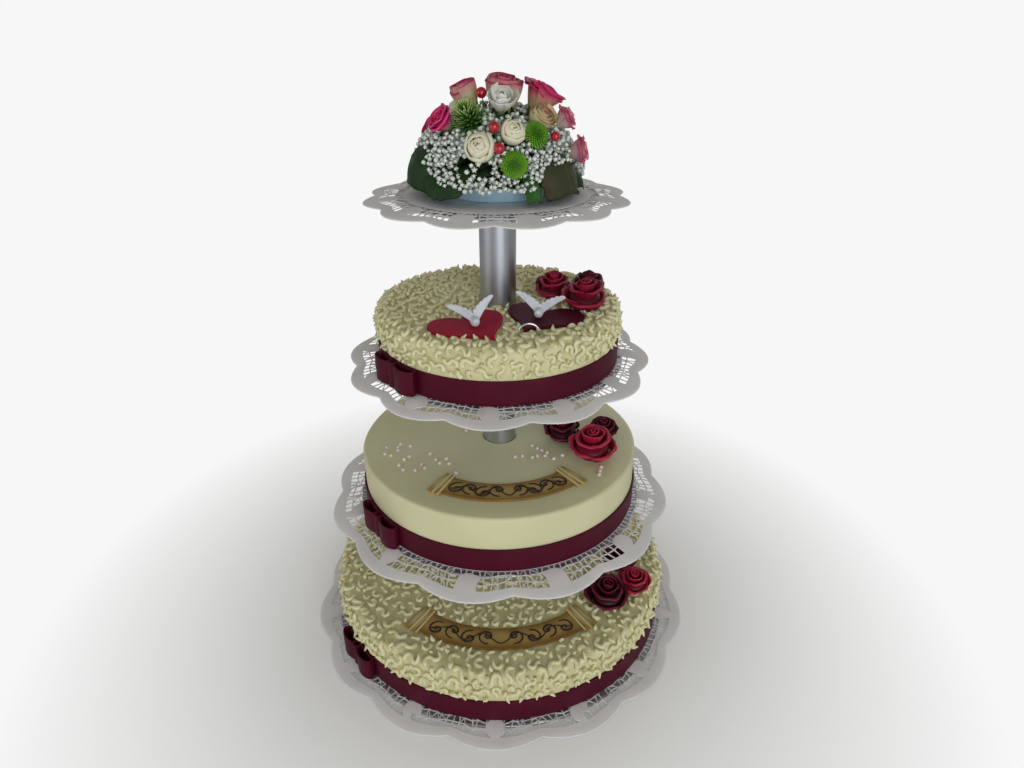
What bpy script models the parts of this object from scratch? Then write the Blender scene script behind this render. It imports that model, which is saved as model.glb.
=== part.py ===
"""Tiered wedding cake on a column stand, with a flower arrangement on its top plate.

Three round cakes of 32, 25 and 20 cm stand one above the other on metal plates, which a 30 mm
column carries through the middle of each cake. Every plate has a paper doily. The bottom and top
cakes are covered with piped squiggles, the middle one is smooth, and each has a rolled marzipan
band with a bow, marzipan roses and other small toppings.

Metres, +Z up. The origin is the centre of the bottom plate's underside, and -Y is the front.
Azimuths are in degrees from the front, positive towards +X.
"""

import math
import random

import bmesh
import bpy
from mathutils import Matrix, Vector

# General
GAP = 0.0003
SEGMENTS = 36
SEED = 7

# Stand: plates from the bottom up, and the height at which the load on each doily starts
PLATE_RADIUS = (0.165, 0.131, 0.107, 0.080)
PLATE_THICKNESS = (0.003, 0.002, 0.002, 0.002)
PLATE_STEPS = 28
TIER_Z = (0.0044, 0.1395, 0.2774, 0.4129)
COLUMN_RADIUS = 0.015
COLUMN_STEPS = 20
BORE_CLEARANCE = 0.0005

# Doilies: outer radius, number of scallops, azimuth of one valley, droop of the free edge
DOILY_THICKNESS = 0.0008
DOILY_RADIUS = (0.187, 0.158, 0.130, 0.104)
DOILY_LOBES = (14, 12, 12, 12)
DOILY_VALLEY = (12.0, 5.0, 12.0, 0.0)
DOILY_DROOP = (0.0022, 0.0045, 0.0040, 0.0030)
SCALLOP_DEPTH = 0.008
SCALLOP_STEPS = 3
VALLEY_DROOP = 0.8

# Cakes, bottom to top, and their bands
CAKE_NAMES = ("cake_bottom", "cake_middle", "cake_top")
BAND_RADIUS = (0.1600, 0.1265, 0.1025)
BAND_THICKNESS = 0.0015
BAND_HEIGHT = (0.0223, 0.0212, 0.0204)
CAKE_HEIGHT = (0.0508, 0.0508, 0.0448)
EDGE_ROUND = 0.006
EDGE_STEPS = 3

# Piping: each squiggle is an S of a soft strand, half sunk in the cake
SQUIGGLE_LENGTH = 0.018
SQUIGGLE_SWING = 0.0050
SQUIGGLE_POINTS = 5
SQUIGGLE_CLEARANCE = 0.001
STRAND_RADIUS = 0.0026
STRAND_SINK = 0.0003
TOP_SPACING = 0.045
SIDE_SPACING = 0.058
SIDE_TILT = 0.5

# Marzipan roses on the cakes: node, tier, place (x, y) and radius
CAKE_ROSES = (
    ("rose_bottom_1", 0, 0.0990, -0.0730, 0.0170),
    ("rose_bottom_2", 0, 0.1265, -0.0560, 0.0135),
    ("rose_bottom_3", 0, 0.1190, -0.0230, 0.0150),
    ("rose_middle_1", 1, 0.0820, -0.0330, 0.0185),
    ("rose_middle_2", 1, 0.0575, -0.0040, 0.0155),
    ("rose_middle_3", 1, 0.0955, -0.0020, 0.0120),
    ("rose_top_1", 2, 0.0470, 0.0110, 0.0145),
    ("rose_top_2", 2, 0.0715, -0.0130, 0.0165),
    ("rose_top_3", 2, 0.0780, 0.0210, 0.0130),
)
ROSE_HEIGHT = 1.4
ROSE_STEPS = 10

# Bows on the bands: azimuth of the knot
BOW_AZIMUTH = (-53.0, -51.5, -49.5)
BOW_WIDTH = 0.050
BOW_DEPTH = 0.0095
BOW_WALL = 0.0014
BOW_POINTS = 6
BOW_ENDS = 0.28
BOW_RISE = 0.001

# Banners: node, tier, first and last azimuth, inner and outer radius of the curved plaque. A fold
# lies across each end, from FOLD_LAP degrees inside it to BANNER_TAIL degrees past it
BANNERS = (
    ("banner_bottom", 0, -34.0, 36.0, 0.1085, 0.1315),
    ("banner_middle", 1, -28.5, 40.0, 0.0805, 0.1030),
)
BANNER_THICKNESS = 0.0018
BANNER_STEPS = 7
BANNER_TAIL = 5.5
FOLD_LAP = 1.2
FOLD_LEAN = 0.8
FOLD_REACH = 0.003
FOLD_THICKNESS = 0.0026

# Hearts and doves on the top cake: point of the heart, turn of its axis from +Y towards +X
HEARTS = (
    ("heart_left", 0.0000, -0.0850, -36.0),
    ("heart_right", 0.0200, -0.0700, 27.0),
)
HEART_LENGTH = 0.058
HEART_THICKNESS = 0.0026
HEART_POINTS = 22
DOVES = (
    ("dove_left", -0.0170, -0.0600, 12.0),
    ("dove_right", 0.0328, -0.0420, -8.0),
)
DOVE_LENGTH = 0.017
DOVE_HEAD = (0.0026, 0.0030, 0.0026)
DOVE_TAIL = (0.0032, 0.0052, 0.0009)
WING_LENGTH = 0.0225
WING_HALF_WIDTH = 0.0042
WING_HALF_THICKNESS = 0.0010
WING_LIFT = 48
WING_SWEEP = 14
RING_PLACE = (0.0243, -0.0760)
RING_RADIUS = 0.0078
RING_WIRE = 0.0009
RING_STEPS = 7

# Sugar pearls on the middle cake: loose rows, as start, end, spread and count
PEARL_ROWS = (
    ((-0.098, -0.012), (-0.067, -0.055), 0.013, 14),
    ((-0.060, -0.032), (-0.038, -0.062), 0.008, 6),
    ((-0.032, 0.022), (-0.027, 0.002), 0.004, 3),
    ((0.027, -0.018), (0.043, -0.032), 0.002, 4),
    ((0.014, -0.036), (0.056, -0.038), 0.004, 7),
    ((0.088, -0.052), (0.086, -0.068), 0.001, 3),
)
PEARL_RADIUS = 0.0019
PEARL_SINK = 0.0002
PEARL_SPACING = 0.0046

# Flower arrangement: a shallow bowl, a core of greenery, and flower heads on stems
BOWL_RADIUS = 0.045
BOWL_TAPER = 0.86
BOWL_HEIGHT = 0.011
BOWL_WALL = 0.002
BOWL_STEPS = 20
CORE_CENTRE = Vector((0.0, 0.0, 0.430))
CORE_RADIUS = 0.037
CORE_STEPS = (16, 10)
FLOWERS = (
    ("tall_rose_left", "cup", (-0.022, -0.008, 0.483), 0.0095, 0.021),
    ("tall_rose_middle", "cup", (0.005, -0.006, 0.4835), 0.0130, 0.027),
    ("open_rose_right", "open", (0.0325, -0.004, 0.481), 0.0130, 0.022),
    ("low_rose_right", "cup", (0.0315, -0.0265, 0.4695), 0.0095, 0.016),
    ("white_freesia", "open", (0.004, -0.030, 0.481), 0.0090, 0.017),
    ("cream_rose_right", "bud", (0.012, -0.049, 0.462), 0.0085, 0.019),
    ("cream_rose_left", "bud", (-0.010, -0.053, 0.453), 0.0100, 0.021),
    ("button_mum_upper", "dome", (0.030, -0.044, 0.462), 0.0088, 0.012),
    ("button_mum_lower", "dome", (0.014, -0.057, 0.443), 0.0090, 0.012),
    ("green_thistle", "spiky", (-0.0195, -0.0365, 0.4725), 0.0105, 0.024),
    ("open_rose_left", "open", (-0.038, -0.027, 0.468), 0.0100, 0.016),
    ("pink_rose_upper", "open", (0.050, -0.010, 0.467), 0.0090, 0.015),
    ("pink_rose_right", "open", (0.060, -0.016, 0.446), 0.0100, 0.016),
    ("pearl_pin_1", "ball", (-0.010, -0.022, 0.486), 0.0038, 0.0076),
    ("pearl_pin_2", "ball", (-0.0005, -0.054, 0.467), 0.0038, 0.0076),
    ("pearl_pin_3", "ball", (0.003, -0.061, 0.454), 0.0038, 0.0076),
    ("pearl_pin_4", "ball", (0.042, -0.040, 0.459), 0.0034, 0.0068),
    ("back_rose_left", "bud", (-0.026, 0.031, 0.469), 0.0110, 0.021),
    ("back_rose_middle", "open", (0.005, 0.027, 0.482), 0.0115, 0.018),
    ("back_mum", "dome", (0.034, 0.034, 0.464), 0.0092, 0.012),
    ("back_rose_side", "open", (-0.049, 0.020, 0.456), 0.0105, 0.016),
)
FLOWER_STEPS = 8
# Leaves round the arrangement: azimuth and half width in degrees
LEAVES = ((-78, 19), (-38, 18), (0, 15), (32, 14), (68, 17), (108, 18), (148, 18), (190, 19), (236, 19))
LEAF_ROOT = 0.033
LEAF_LENGTH = 0.035
LEAF_HEIGHT = 0.4375
LEAF_FALL = 0.021
LEAF_WAVE = 0.0015
LEAF_THICKNESS = 0.0008
LEAF_STEPS = 3
# Tufts of small white blossoms: rows of elevation and count, reach from a point above the core's
# centre, smallest and largest radius, and the blossoms on each
TUFT_ROWS = ((8, 11), (30, 8), (54, 5))
TUFT_RISE = 0.012
TUFT_REACH = 0.0520
TUFT_RADIUS = (0.005, 0.0115)
TUFT_SIDES = 5
BLOSSOM_RADIUS = 0.0030
BLOSSOMS = 2

# Colour, roughness and metallic value of each finish
FINISHES = {
    "aluminium": ((0.55, 0.57, 0.60), 0.32, 1.0),
    "paper": ((0.62, 0.60, 0.63), 0.85, 0.0),
    "cream": ((0.62, 0.60, 0.34), 0.55, 0.0),
    "icing": ((0.66, 0.63, 0.38), 0.40, 0.0),
    "burgundy": ((0.09, 0.006, 0.016), 0.55, 0.0),
    "crimson": ((0.30, 0.008, 0.030), 0.45, 0.0),
    "plaque": ((0.55, 0.40, 0.14), 0.60, 0.0),
    "sugar": ((0.75, 0.76, 0.80), 0.50, 0.0),
    "silver": ((0.75, 0.75, 0.75), 0.20, 1.0),
    "bowl": ((0.42, 0.58, 0.68), 0.30, 0.0),
    "greenery": ((0.03, 0.09, 0.02), 0.60, 0.0),
    "mum": ((0.07, 0.25, 0.01), 0.60, 0.0),
    "white_petal": ((0.75, 0.74, 0.60), 0.55, 0.0),
    "pink_petal": ((0.55, 0.03, 0.14), 0.55, 0.0),
    "pearl": ((0.45, 0.0, 0.02), 0.12, 0.0),
}
FLOWER_FINISH = {"cup": "white_petal", "open": "pink_petal", "bud": "white_petal",
                 "dome": "mum", "spiky": "mum", "ball": "pearl"}

# Flower heads: rings from the tip to the foot as (share of radius, share of height), and the
# waviness of the petals' rims
HEADS = {
    "open": (((0, 0.90), (0.22, 1.0), (0.36, 0.74), (0.58, 0.98), (0.74, 0.66), (1.0, 0.80),
              (0.80, 0.40), (0.42, 0.04), (0, 0)), 0.08),
    "cup": (((0, 0.80), (0.30, 0.96), (0.54, 0.80), (1.0, 0.98), (0.86, 0.50), (0.52, 0.08),
             (0, 0)), 0.06),
    "bud": (((0, 0.96), (0.34, 1.0), (0.46, 0.86), (0.84, 0.86), (1.0, 0.50), (0.52, 0.04),
             (0, 0)), 0.05),
    "dome": (((0, 0.90), (0.40, 1.0), (0.76, 0.82), (1.0, 0.50), (0.84, 0.18), (0.40, 0.02),
              (0, 0)), 0.05),
    "spiky": (((0, 0.86), (0.26, 1.0), (0.42, 0.86), (0.80, 0.90), (1.0, 0.66), (0.62, 0.30),
               (0.30, 0.02), (0, 0)), 0.16),
    "ball": (((0, 1.0), (0.64, 0.88), (1.0, 0.50), (0.64, 0.12), (0.16, 0.01), (0, 0)), 0.0),
}


def clear_scene():
    """Remove what the new file opens with, and give the cake its own collection."""
    for obj in list(bpy.data.objects):
        bpy.data.objects.remove(obj)
    collection = bpy.data.collections.new("tiered_wedding_cake")
    bpy.context.scene.collection.children.link(collection)
    return collection


def add_object(name, data, finish):
    """Link a mesh or curve as a sub-part with a Principled material of its own."""
    obj = bpy.data.objects.new(name, data)
    CAKE.objects.link(obj)
    colour, roughness, metallic = FINISHES[finish]
    material = bpy.data.materials.new(name)
    material.use_nodes = True
    shader = material.node_tree.nodes["Principled BSDF"]
    shader.inputs["Base Color"].default_value = (*colour, 1.0)
    shader.inputs["Roughness"].default_value = roughness
    shader.inputs["Metallic"].default_value = metallic
    data.materials.append(material)
    return obj


def mesh_object(name, bm, finish):
    """Turn a bmesh into a sub-part."""
    mesh = bpy.data.meshes.new(name)
    bm.to_mesh(mesh)
    bm.free()
    return add_object(name, mesh, finish)


def turned(name, profile, finish, steps):
    """Turn a closed profile of (radius, height), which runs down its outer side, round Z."""
    mesh = bpy.data.meshes.new(name)
    following = profile[1:] + profile[:1]
    edges = [(i, (i + 1) % len(profile)) for i, (start, end) in enumerate(zip(profile, following))
             if start[0] or end[0]]
    mesh.from_pydata([(radius, 0.0, height) for radius, height in profile], edges, [])
    obj = add_object(name, mesh, finish)
    screw = obj.modifiers.new("Turn", "SCREW")
    screw.steps = steps
    screw.render_steps = steps
    screw.use_merge_vertices = True
    screw.merge_threshold = 0.0001
    return obj


def outline_plate(name, outlines, thickness, base_z, finish):
    """Fill flat outlines, of which the inner ones are holes, to a plate standing on base_z."""
    curve = bpy.data.curves.new(name, "CURVE")
    curve.dimensions = "2D"
    curve.fill_mode = "BOTH"
    curve.extrude = thickness / 2
    for points in outlines:
        spline = curve.splines.new("POLY")
        spline.points.add(len(points) - 1)
        for point, (x, y) in zip(spline.points, points):
            point.co = (x, y, 0.0, 1.0)
        spline.use_cyclic_u = True
    obj = add_object(name, curve, finish)
    obj.location.z = base_z + thickness / 2
    return obj


def as_mesh(obj, name, finish):
    """Make a curve object a closed mesh object in the same place, and remove the curve."""
    bpy.context.view_layer.update()
    depsgraph = bpy.context.evaluated_depsgraph_get()
    mesh = bpy.data.meshes.new_from_object(obj.evaluated_get(depsgraph))
    mesh.materials.clear()
    bm = bmesh.new()
    bm.from_mesh(mesh)
    bmesh.ops.remove_doubles(bm, verts=bm.verts, dist=0.00001)
    bm.to_mesh(mesh)
    bm.free()
    place = obj.matrix_world.copy()
    bpy.data.objects.remove(obj)
    solid = add_object(name, mesh, finish)
    solid.matrix_world = place
    return solid


def strands(name, paths, radius, finish):
    """Round strands along lists of points, as one mesh of closed bodies."""
    curve = bpy.data.curves.new(name + "_path", "CURVE")
    curve.dimensions = "3D"
    curve.twist_mode = "Z_UP"
    curve.bevel_depth = radius
    curve.bevel_resolution = 0
    curve.use_fill_caps = True
    for path in paths:
        spline = curve.splines.new("POLY")
        spline.points.add(len(path) - 1)
        for point, place in zip(spline.points, path):
            point.co = (*place, 1.0)
            point.tilt = math.radians(45)
    return as_mesh(add_object(name + "_path", curve, finish), name, finish)


def apply_modifiers(obj):
    """Bake an object's modifiers into its mesh and keep its one material."""
    bpy.context.view_layer.update()
    depsgraph = bpy.context.evaluated_depsgraph_get()
    mesh = bpy.data.meshes.new_from_object(obj.evaluated_get(depsgraph))
    material = obj.data.materials[0]
    obj.modifiers.clear()
    mesh.materials.clear()
    mesh.materials.append(material)
    mesh.polygons.foreach_set("material_index", [0] * len(mesh.polygons))
    obj.data = mesh


def merge_flats(obj):
    """Merge the coplanar faces of a mesh, so that what is fused on cuts few edges."""
    bm = bmesh.new()
    bm.from_mesh(obj.data)
    bmesh.ops.dissolve_limit(bm, angle_limit=math.radians(0.5), verts=bm.verts, edges=bm.edges)
    bm.to_mesh(obj.data)
    bm.free()


def fuse(obj, pieces):
    """Join pieces to an object by one Boolean union, apply it and remove them."""
    group = bpy.data.collections.new(obj.name + "_pieces")
    bpy.context.scene.collection.children.link(group)
    for piece in pieces:
        group.objects.link(piece)
        CAKE.objects.unlink(piece)
    union = obj.modifiers.new("Fuse", "BOOLEAN")
    union.operation = "UNION"
    union.operand_type = "COLLECTION"
    union.collection = group
    apply_modifiers(obj)
    for piece in pieces:
        bpy.data.objects.remove(piece)
    bpy.data.collections.remove(group)


def polar(azimuth, radius):
    """A flat point at an azimuth in degrees from the front, positive towards +X."""
    angle = math.radians(azimuth)
    return (radius * math.sin(angle), -radius * math.cos(angle))


def doily_base(tier):
    """Height of a doily's underside on its plate."""
    return TIER_Z[tier] - GAP - DOILY_THICKNESS


def plate_top(tier):
    """Height of a plate's upper face."""
    return doily_base(tier) - GAP


def cake_top(tier):
    """Height of a cake's smooth upper face."""
    return TIER_Z[tier] + CAKE_HEIGHT[tier]


def cake_radius(tier):
    """Radius of a cake inside its band."""
    return BAND_RADIUS[tier] - BAND_THICKNESS - GAP


def ring_profile(inner, outer, low, high):
    """A rectangle between two radii, running down its outer side."""
    return [(outer, high), (outer, low), (inner, low), (inner, high)]


def cylinder(name, radius, low, high, steps):
    """An upright aluminium cylinder between two heights."""
    bm = bmesh.new()
    middle = Matrix.Translation((0, 0, (low + high) / 2))
    bmesh.ops.create_cone(bm, cap_ends=True, segments=steps, radius1=radius, radius2=radius,
                          depth=high - low, matrix=middle)
    mesh_object(name, bm, "aluminium")


def make_plates():
    """Metal plates that carry the doilies and cakes."""
    for tier, radius in enumerate(PLATE_RADIUS):
        top = plate_top(tier)
        low = top - PLATE_THICKNESS[tier]
        cylinder(f"plate_{tier + 1}", radius, low, top, PLATE_STEPS)


def make_columns():
    """Column lengths between the plates, through the bores of the doilies and cakes."""
    for tier in range(3):
        low = plate_top(tier) + GAP
        high = plate_top(tier + 1) - PLATE_THICKNESS[tier + 1] - GAP
        cylinder(f"column_{tier + 1}", COLUMN_RADIUS, low, high, COLUMN_STEPS)


def make_doily(tier):
    """A scalloped sheet of paper: flat on the plate, its free edge drooping in soft waves."""
    lobes = DOILY_LOBES[tier]
    count = lobes * SCALLOP_STEPS
    bm = bmesh.new()
    rim = bmesh.ops.create_circle(bm, segments=count, radius=1.0)["verts"]
    inner = bmesh.ops.extrude_edge_only(bm, edges=list(bm.edges))["geom"]
    shelf = {item for item in inner if isinstance(item, bmesh.types.BMVert)}
    shelf_edges = [edge for edge in bm.edges if shelf.issuperset(edge.verts)]
    for vert in shelf:
        vert.co *= PLATE_RADIUS[tier] + PLATE_THICKNESS[tier] / 2
    for vert in rim:
        azimuth = math.degrees(math.atan2(vert.co.x, -vert.co.y))
        swing = abs(math.sin(math.radians((azimuth - DOILY_VALLEY[tier]) * lobes / 2)))
        vert.co *= DOILY_RADIUS[tier] - SCALLOP_DEPTH * (1 - swing)
        vert.co.z = -DOILY_DROOP[tier] * (VALLEY_DROOP + (1 - VALLEY_DROOP) * swing)
    if tier < 3:
        drawn = set(bm.edges)
        bmesh.ops.create_circle(bm, segments=COLUMN_STEPS, radius=COLUMN_RADIUS + BORE_CLEARANCE)
        shelf_edges += [edge for edge in bm.edges if edge not in drawn]
    bmesh.ops.triangle_fill(bm, use_beauty=True, edges=shelf_edges, normal=(0, 0, 1))
    bmesh.ops.triangulate(bm, faces=bm.faces)
    bmesh.ops.recalc_face_normals(bm, faces=bm.faces)
    if sum(face.normal.z for face in bm.faces) < 0:
        bmesh.ops.reverse_faces(bm, faces=bm.faces)
    bmesh.ops.translate(bm, verts=bm.verts, vec=(0, 0, doily_base(tier)))
    obj = mesh_object(f"doily_{tier + 1}", bm, "paper")
    paper = obj.modifiers.new("Paper", "SOLIDIFY")
    paper.thickness = DOILY_THICKNESS
    paper.offset = 1.0


def squiggle(turn):
    """Flat points of one S of piping, about its middle, turned by an angle."""
    points = []
    for index in range(SQUIGGLE_POINTS):
        share = index / (SQUIGGLE_POINTS - 1)
        along = (share - 0.5) * SQUIGGLE_LENGTH
        across = SQUIGGLE_SWING * math.sin(math.tau * share)
        points.append((along * math.cos(turn) - across * math.sin(turn),
                       along * math.sin(turn) + across * math.cos(turn)))
    return points


def is_covered(tier, x, y):
    """Whether a place on a cake's top is taken by a banner, heart, rose, ring or the column."""
    reach = SQUIGGLE_LENGTH / 2 + SQUIGGLE_CLEARANCE
    radius = math.hypot(x, y)
    azimuth = math.degrees(math.atan2(x, -y))
    margin = math.degrees(reach / max(radius, reach))
    blocks = [radius < COLUMN_RADIUS + reach]
    for _, level, first, last, inner, outer in BANNERS:
        spans = first - BANNER_TAIL - margin < azimuth < last + BANNER_TAIL + margin
        blocks.append(level == tier and spans and inner - reach < radius < outer + reach)
    for _, level, rose_x, rose_y, size in CAKE_ROSES:
        blocks.append(level == tier and math.hypot(x - rose_x, y - rose_y) < size + reach)
    if tier == 2:
        for _, point_x, point_y, turn in HEARTS:
            middle = Vector((point_x, point_y)) + heart_axis(turn) * HEART_LENGTH * 0.55
            blocks.append((Vector((x, y)) - middle).length < HEART_LENGTH * 0.5 + reach)
        blocks.append(math.hypot(x - RING_PLACE[0], y - RING_PLACE[1]) < RING_RADIUS + reach)
    return any(blocks)


def piping_paths(tier):
    """Paths of the squiggles, in rings on the cake's top and in a row round its side."""
    draw = random.Random(SEED + tier)
    radius = cake_radius(tier)
    top = cake_top(tier) - STRAND_SINK
    paths = []
    rings = round((radius - COLUMN_RADIUS - EDGE_ROUND) / TOP_SPACING)
    for ring in range(rings):
        ring_radius = radius - EDGE_ROUND - (ring + 0.45) * TOP_SPACING
        count = round(math.tau * ring_radius / TOP_SPACING)
        for index in range(count):
            middle = polar(360 * (index + 0.5 * (ring % 2)) / count, ring_radius)
            turn = draw.uniform(0, math.pi)
            if not is_covered(tier, *middle):
                paths.append([(middle[0] + x, middle[1] + y, top) for x, y in squiggle(turn)])
    wall = radius - STRAND_SINK
    low = TIER_Z[tier] + BAND_HEIGHT[tier]
    middle_z = (low + cake_top(tier) - EDGE_ROUND) / 2
    count = round(math.tau * wall / SIDE_SPACING)
    for index in range(count):
        turn = draw.uniform(-SIDE_TILT, SIDE_TILT)
        path = []
        for along, up in squiggle(turn):
            azimuth = 360 * index / count + math.degrees(along / wall)
            path.append((*polar(azimuth, wall), middle_z + up))
        paths.append(path)
    return paths


def sugar_pearls():
    """Small pearls scattered in loose rows on the middle cake, half sunk in its icing."""
    draw = random.Random(SEED)
    bm = bmesh.new()
    placed = []
    for start, end, spread, count in PEARL_ROWS:
        step = (Vector(end) - Vector(start)) / count
        wanted = len(placed) + count
        while len(placed) < wanted:
            along = Vector(start) + step * (len(placed) - wanted + count + 0.5)
            place = along + Vector((draw.uniform(-spread, spread), draw.uniform(-spread, spread)))
            if all((place - other).length > PEARL_SPACING for other in placed):
                placed.append(place)
    for place in placed:
        spot = Matrix.Translation((place.x, place.y, cake_top(1) - PEARL_SINK))
        bmesh.ops.create_uvsphere(bm, u_segments=4, v_segments=2, radius=PEARL_RADIUS, matrix=spot)
    return mesh_object("sugar_pearls", bm, "sugar")


def make_cake(tier):
    """A round cake with a rounded upper edge and the column's bore, and what is fused on it."""
    radius = cake_radius(tier)
    bore = COLUMN_RADIUS + BORE_CLEARANCE
    low = TIER_Z[tier]
    high = cake_top(tier)
    profile = []
    for step in range(EDGE_STEPS + 1):
        angle = math.radians(90 - 90 * step / EDGE_STEPS)
        profile.append((radius - EDGE_ROUND * (1 - math.cos(angle)),
                        high - EDGE_ROUND * (1 - math.sin(angle))))
    profile += [(radius, low), (bore, low), (bore, high)]
    finish = "icing" if tier == 1 else "cream"
    cake = turned(CAKE_NAMES[tier], profile, finish, SEGMENTS)
    apply_modifiers(cake)
    merge_flats(cake)
    if tier == 1:
        toppings = sugar_pearls()
    else:
        toppings = strands(f"piping_{tier + 1}", piping_paths(tier), STRAND_RADIUS, "cream")
    fuse(cake, [toppings])


def make_band(tier):
    """A strip of rolled marzipan round the foot of a cake."""
    outer = BAND_RADIUS[tier]
    low = TIER_Z[tier]
    profile = ring_profile(outer - BAND_THICKNESS, outer, low, low + BAND_HEIGHT[tier])
    turned(f"band_{tier + 1}", profile, "burgundy", SEGMENTS)


def bow_bulge(along, low, high):
    """How far a bow's loop stands out at a share of its length, as a share of its depth."""
    return BOW_ENDS + (1 - BOW_ENDS) * math.sin(math.pi * (low + (high - low) * along)) ** 0.8


def make_bow(tier):
    """A marzipan bow: two open loops of the band's height, pinched together in the middle."""
    back = BAND_RADIUS[tier] + GAP
    half = BOW_WIDTH / 2
    shares = [i / BOW_POINTS for i in range(BOW_POINTS + 1)]

    def bend(along, out):
        azimuth = BOW_AZIMUTH[tier] + math.degrees(along / back)
        return polar(azimuth, back + out)

    front = []
    holes = []
    for side in (1, -1):
        bulge = [(side * half * (1 - share), BOW_DEPTH * bow_bulge(share, 0.08, 0.96))
                 for share in shares]
        front += bulge if side == 1 else bulge[-2::-1]
        crown = [(side * half * (0.90 - 0.78 * share),
                  BOW_DEPTH * bow_bulge(share, 0.10, 0.90) - BOW_WALL) for share in shares]
        floor = [(side * half * 0.16, BOW_WALL), (side * half * 0.88, BOW_WALL)]
        holes.append([bend(*point) for point in crown + floor])
    outline = [bend(-half + BOW_WIDTH * share, 0.0) for share in shares]
    outline += [bend(*point) for point in front]
    outline_plate(f"bow_{tier + 1}", [outline] + holes, BAND_HEIGHT[tier] + BOW_RISE, TIER_Z[tier],
                  "burgundy")


def make_banner(name, tier, first, last, inner, outer):
    """A thin curved plaque with a raised fold across each end."""
    def sector(low, high, near, far, count, lean=0.0):
        arc = [low + (high - low) * i / count for i in range(count + 1)]
        return ([polar(azimuth, near) for azimuth in arc]
                + [polar(azimuth + lean, far) for azimuth in reversed(arc)])

    base = cake_top(tier) + GAP
    body = outline_plate(name + "_body", [sector(first, last, inner, outer, BANNER_STEPS)],
                         BANNER_THICKNESS, base, "plaque")
    banner = as_mesh(body, name, "plaque")
    folds = []
    for end, side in ((first, -1), (last, 1)):
        low, high = sorted((end - side * FOLD_LAP, end + side * BANNER_TAIL))
        fold = sector(low, high, inner - FOLD_REACH, outer + FOLD_REACH, 2, -side * FOLD_LEAN)
        flat = outline_plate(name + "_flat", [fold], FOLD_THICKNESS, base, "plaque")
        folds.append(as_mesh(flat, name + "_fold", "plaque"))
    fuse(banner, folds)


def heart_axis(turn):
    """Unit vector from a heart's point to its notch."""
    return Vector((math.sin(math.radians(turn)), math.cos(math.radians(turn))))


def make_heart(name, x, y, turn):
    """A flat marzipan heart lying on the cake."""
    axis = heart_axis(turn)
    side = Vector((axis.y, -axis.x))
    scale = HEART_LENGTH / 29.0
    points = []
    for index in range(HEART_POINTS):
        angle = math.tau * index / HEART_POINTS
        across = 16 * math.sin(angle) ** 3
        along = (17 + 13 * math.cos(angle) - 5 * math.cos(2 * angle) - 2 * math.cos(3 * angle)
                 - math.cos(4 * angle))
        points.append(Vector((x, y)) + axis * along * scale + side * across * scale)
    outline_plate(name, [points], HEART_THICKNESS, cake_top(2) + GAP, "crimson")


def ellipsoid(name, size, place, turn, steps, finish):
    """A UV sphere squeezed to three half axes, turned and placed."""
    bm = bmesh.new()
    matrix = Matrix.Translation(place) @ turn @ Matrix.Diagonal((*size, 1.0))
    bmesh.ops.create_uvsphere(bm, u_segments=steps[0], v_segments=steps[1], radius=1.0, matrix=matrix)
    return mesh_object(name, bm, finish)


def make_dove(name, x, y, turn):
    """A small white dove of sugar, its wings raised in a V."""
    base = cake_top(2) + GAP + HEART_THICKNESS + GAP
    heading = Matrix.Rotation(math.radians(turn), 4, "Z")
    size = (DOVE_LENGTH * 0.22, DOVE_LENGTH * 0.5, DOVE_LENGTH * 0.2)
    place = Vector((x, y, base + size[2]))
    body = ellipsoid(name, size, place, heading, (6, 5), "sugar")
    head = place + heading @ Vector((0, -DOVE_LENGTH * 0.50, DOVE_LENGTH * 0.16))
    tail = place + heading @ Vector((0, DOVE_LENGTH * 0.62, DOVE_LENGTH * 0.08))
    pieces = [ellipsoid(name + "_head", DOVE_HEAD, head, heading, (5, 4), "sugar"),
              ellipsoid(name + "_tail", DOVE_TAIL, tail, heading, (6, 3), "sugar")]
    wing = (WING_LENGTH * 0.54, WING_HALF_WIDTH, WING_HALF_THICKNESS)
    for side in (-1, 1):
        lift = Matrix.Rotation(math.radians(-side * WING_LIFT), 4, "Y")
        sweep = Matrix.Rotation(math.radians(side * WING_SWEEP), 4, "Z")
        spread = heading @ sweep @ lift
        middle = place + spread @ Vector((side * WING_LENGTH * 0.5, 0, WING_HALF_THICKNESS))
        pieces.append(ellipsoid(name + "_wing", wing, middle, spread, (6, 3), "sugar"))
    fuse(body, pieces)


def make_ring():
    """A silver ring standing on the cream: the part of it that shows above."""
    x, y = RING_PLACE
    base = cake_top(2) + GAP
    path = []
    for index in range(RING_STEPS + 1):
        angle = math.pi * index / RING_STEPS
        path.append((x + RING_RADIUS * math.cos(angle), y, base + RING_RADIUS * math.sin(angle)))
    strands("ring", [path], RING_WIRE, "silver")


def bloom(name, kind, radius, height, foot_drop, finish, steps):
    """A flower head: the rings of a UV sphere moved to the profile of its kind."""
    profile, wobble = HEADS[kind]
    rings = len(profile) - 1
    bm = bmesh.new()
    bmesh.ops.create_uvsphere(bm, u_segments=steps, v_segments=rings, radius=1.0)
    for vert in bm.verts:
        turn = math.atan2(vert.co.y, vert.co.x)
        ring = round(math.acos(max(-1.0, min(1.0, vert.co.z))) / math.pi * rings)
        out, up = profile[ring]
        wave = wobble * math.cos(turn * steps / 2) * (1 if ring % 2 else -1)
        wave *= up > 0.3
        vert.co = Vector((math.cos(turn) * out * (1 + wave) * radius,
                          math.sin(turn) * out * (1 + wave) * radius,
                          up * (1 + wave * 0.6) * height))
        if ring == rings:
            vert.co.z -= foot_drop
    return mesh_object(name, bm, finish)


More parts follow.
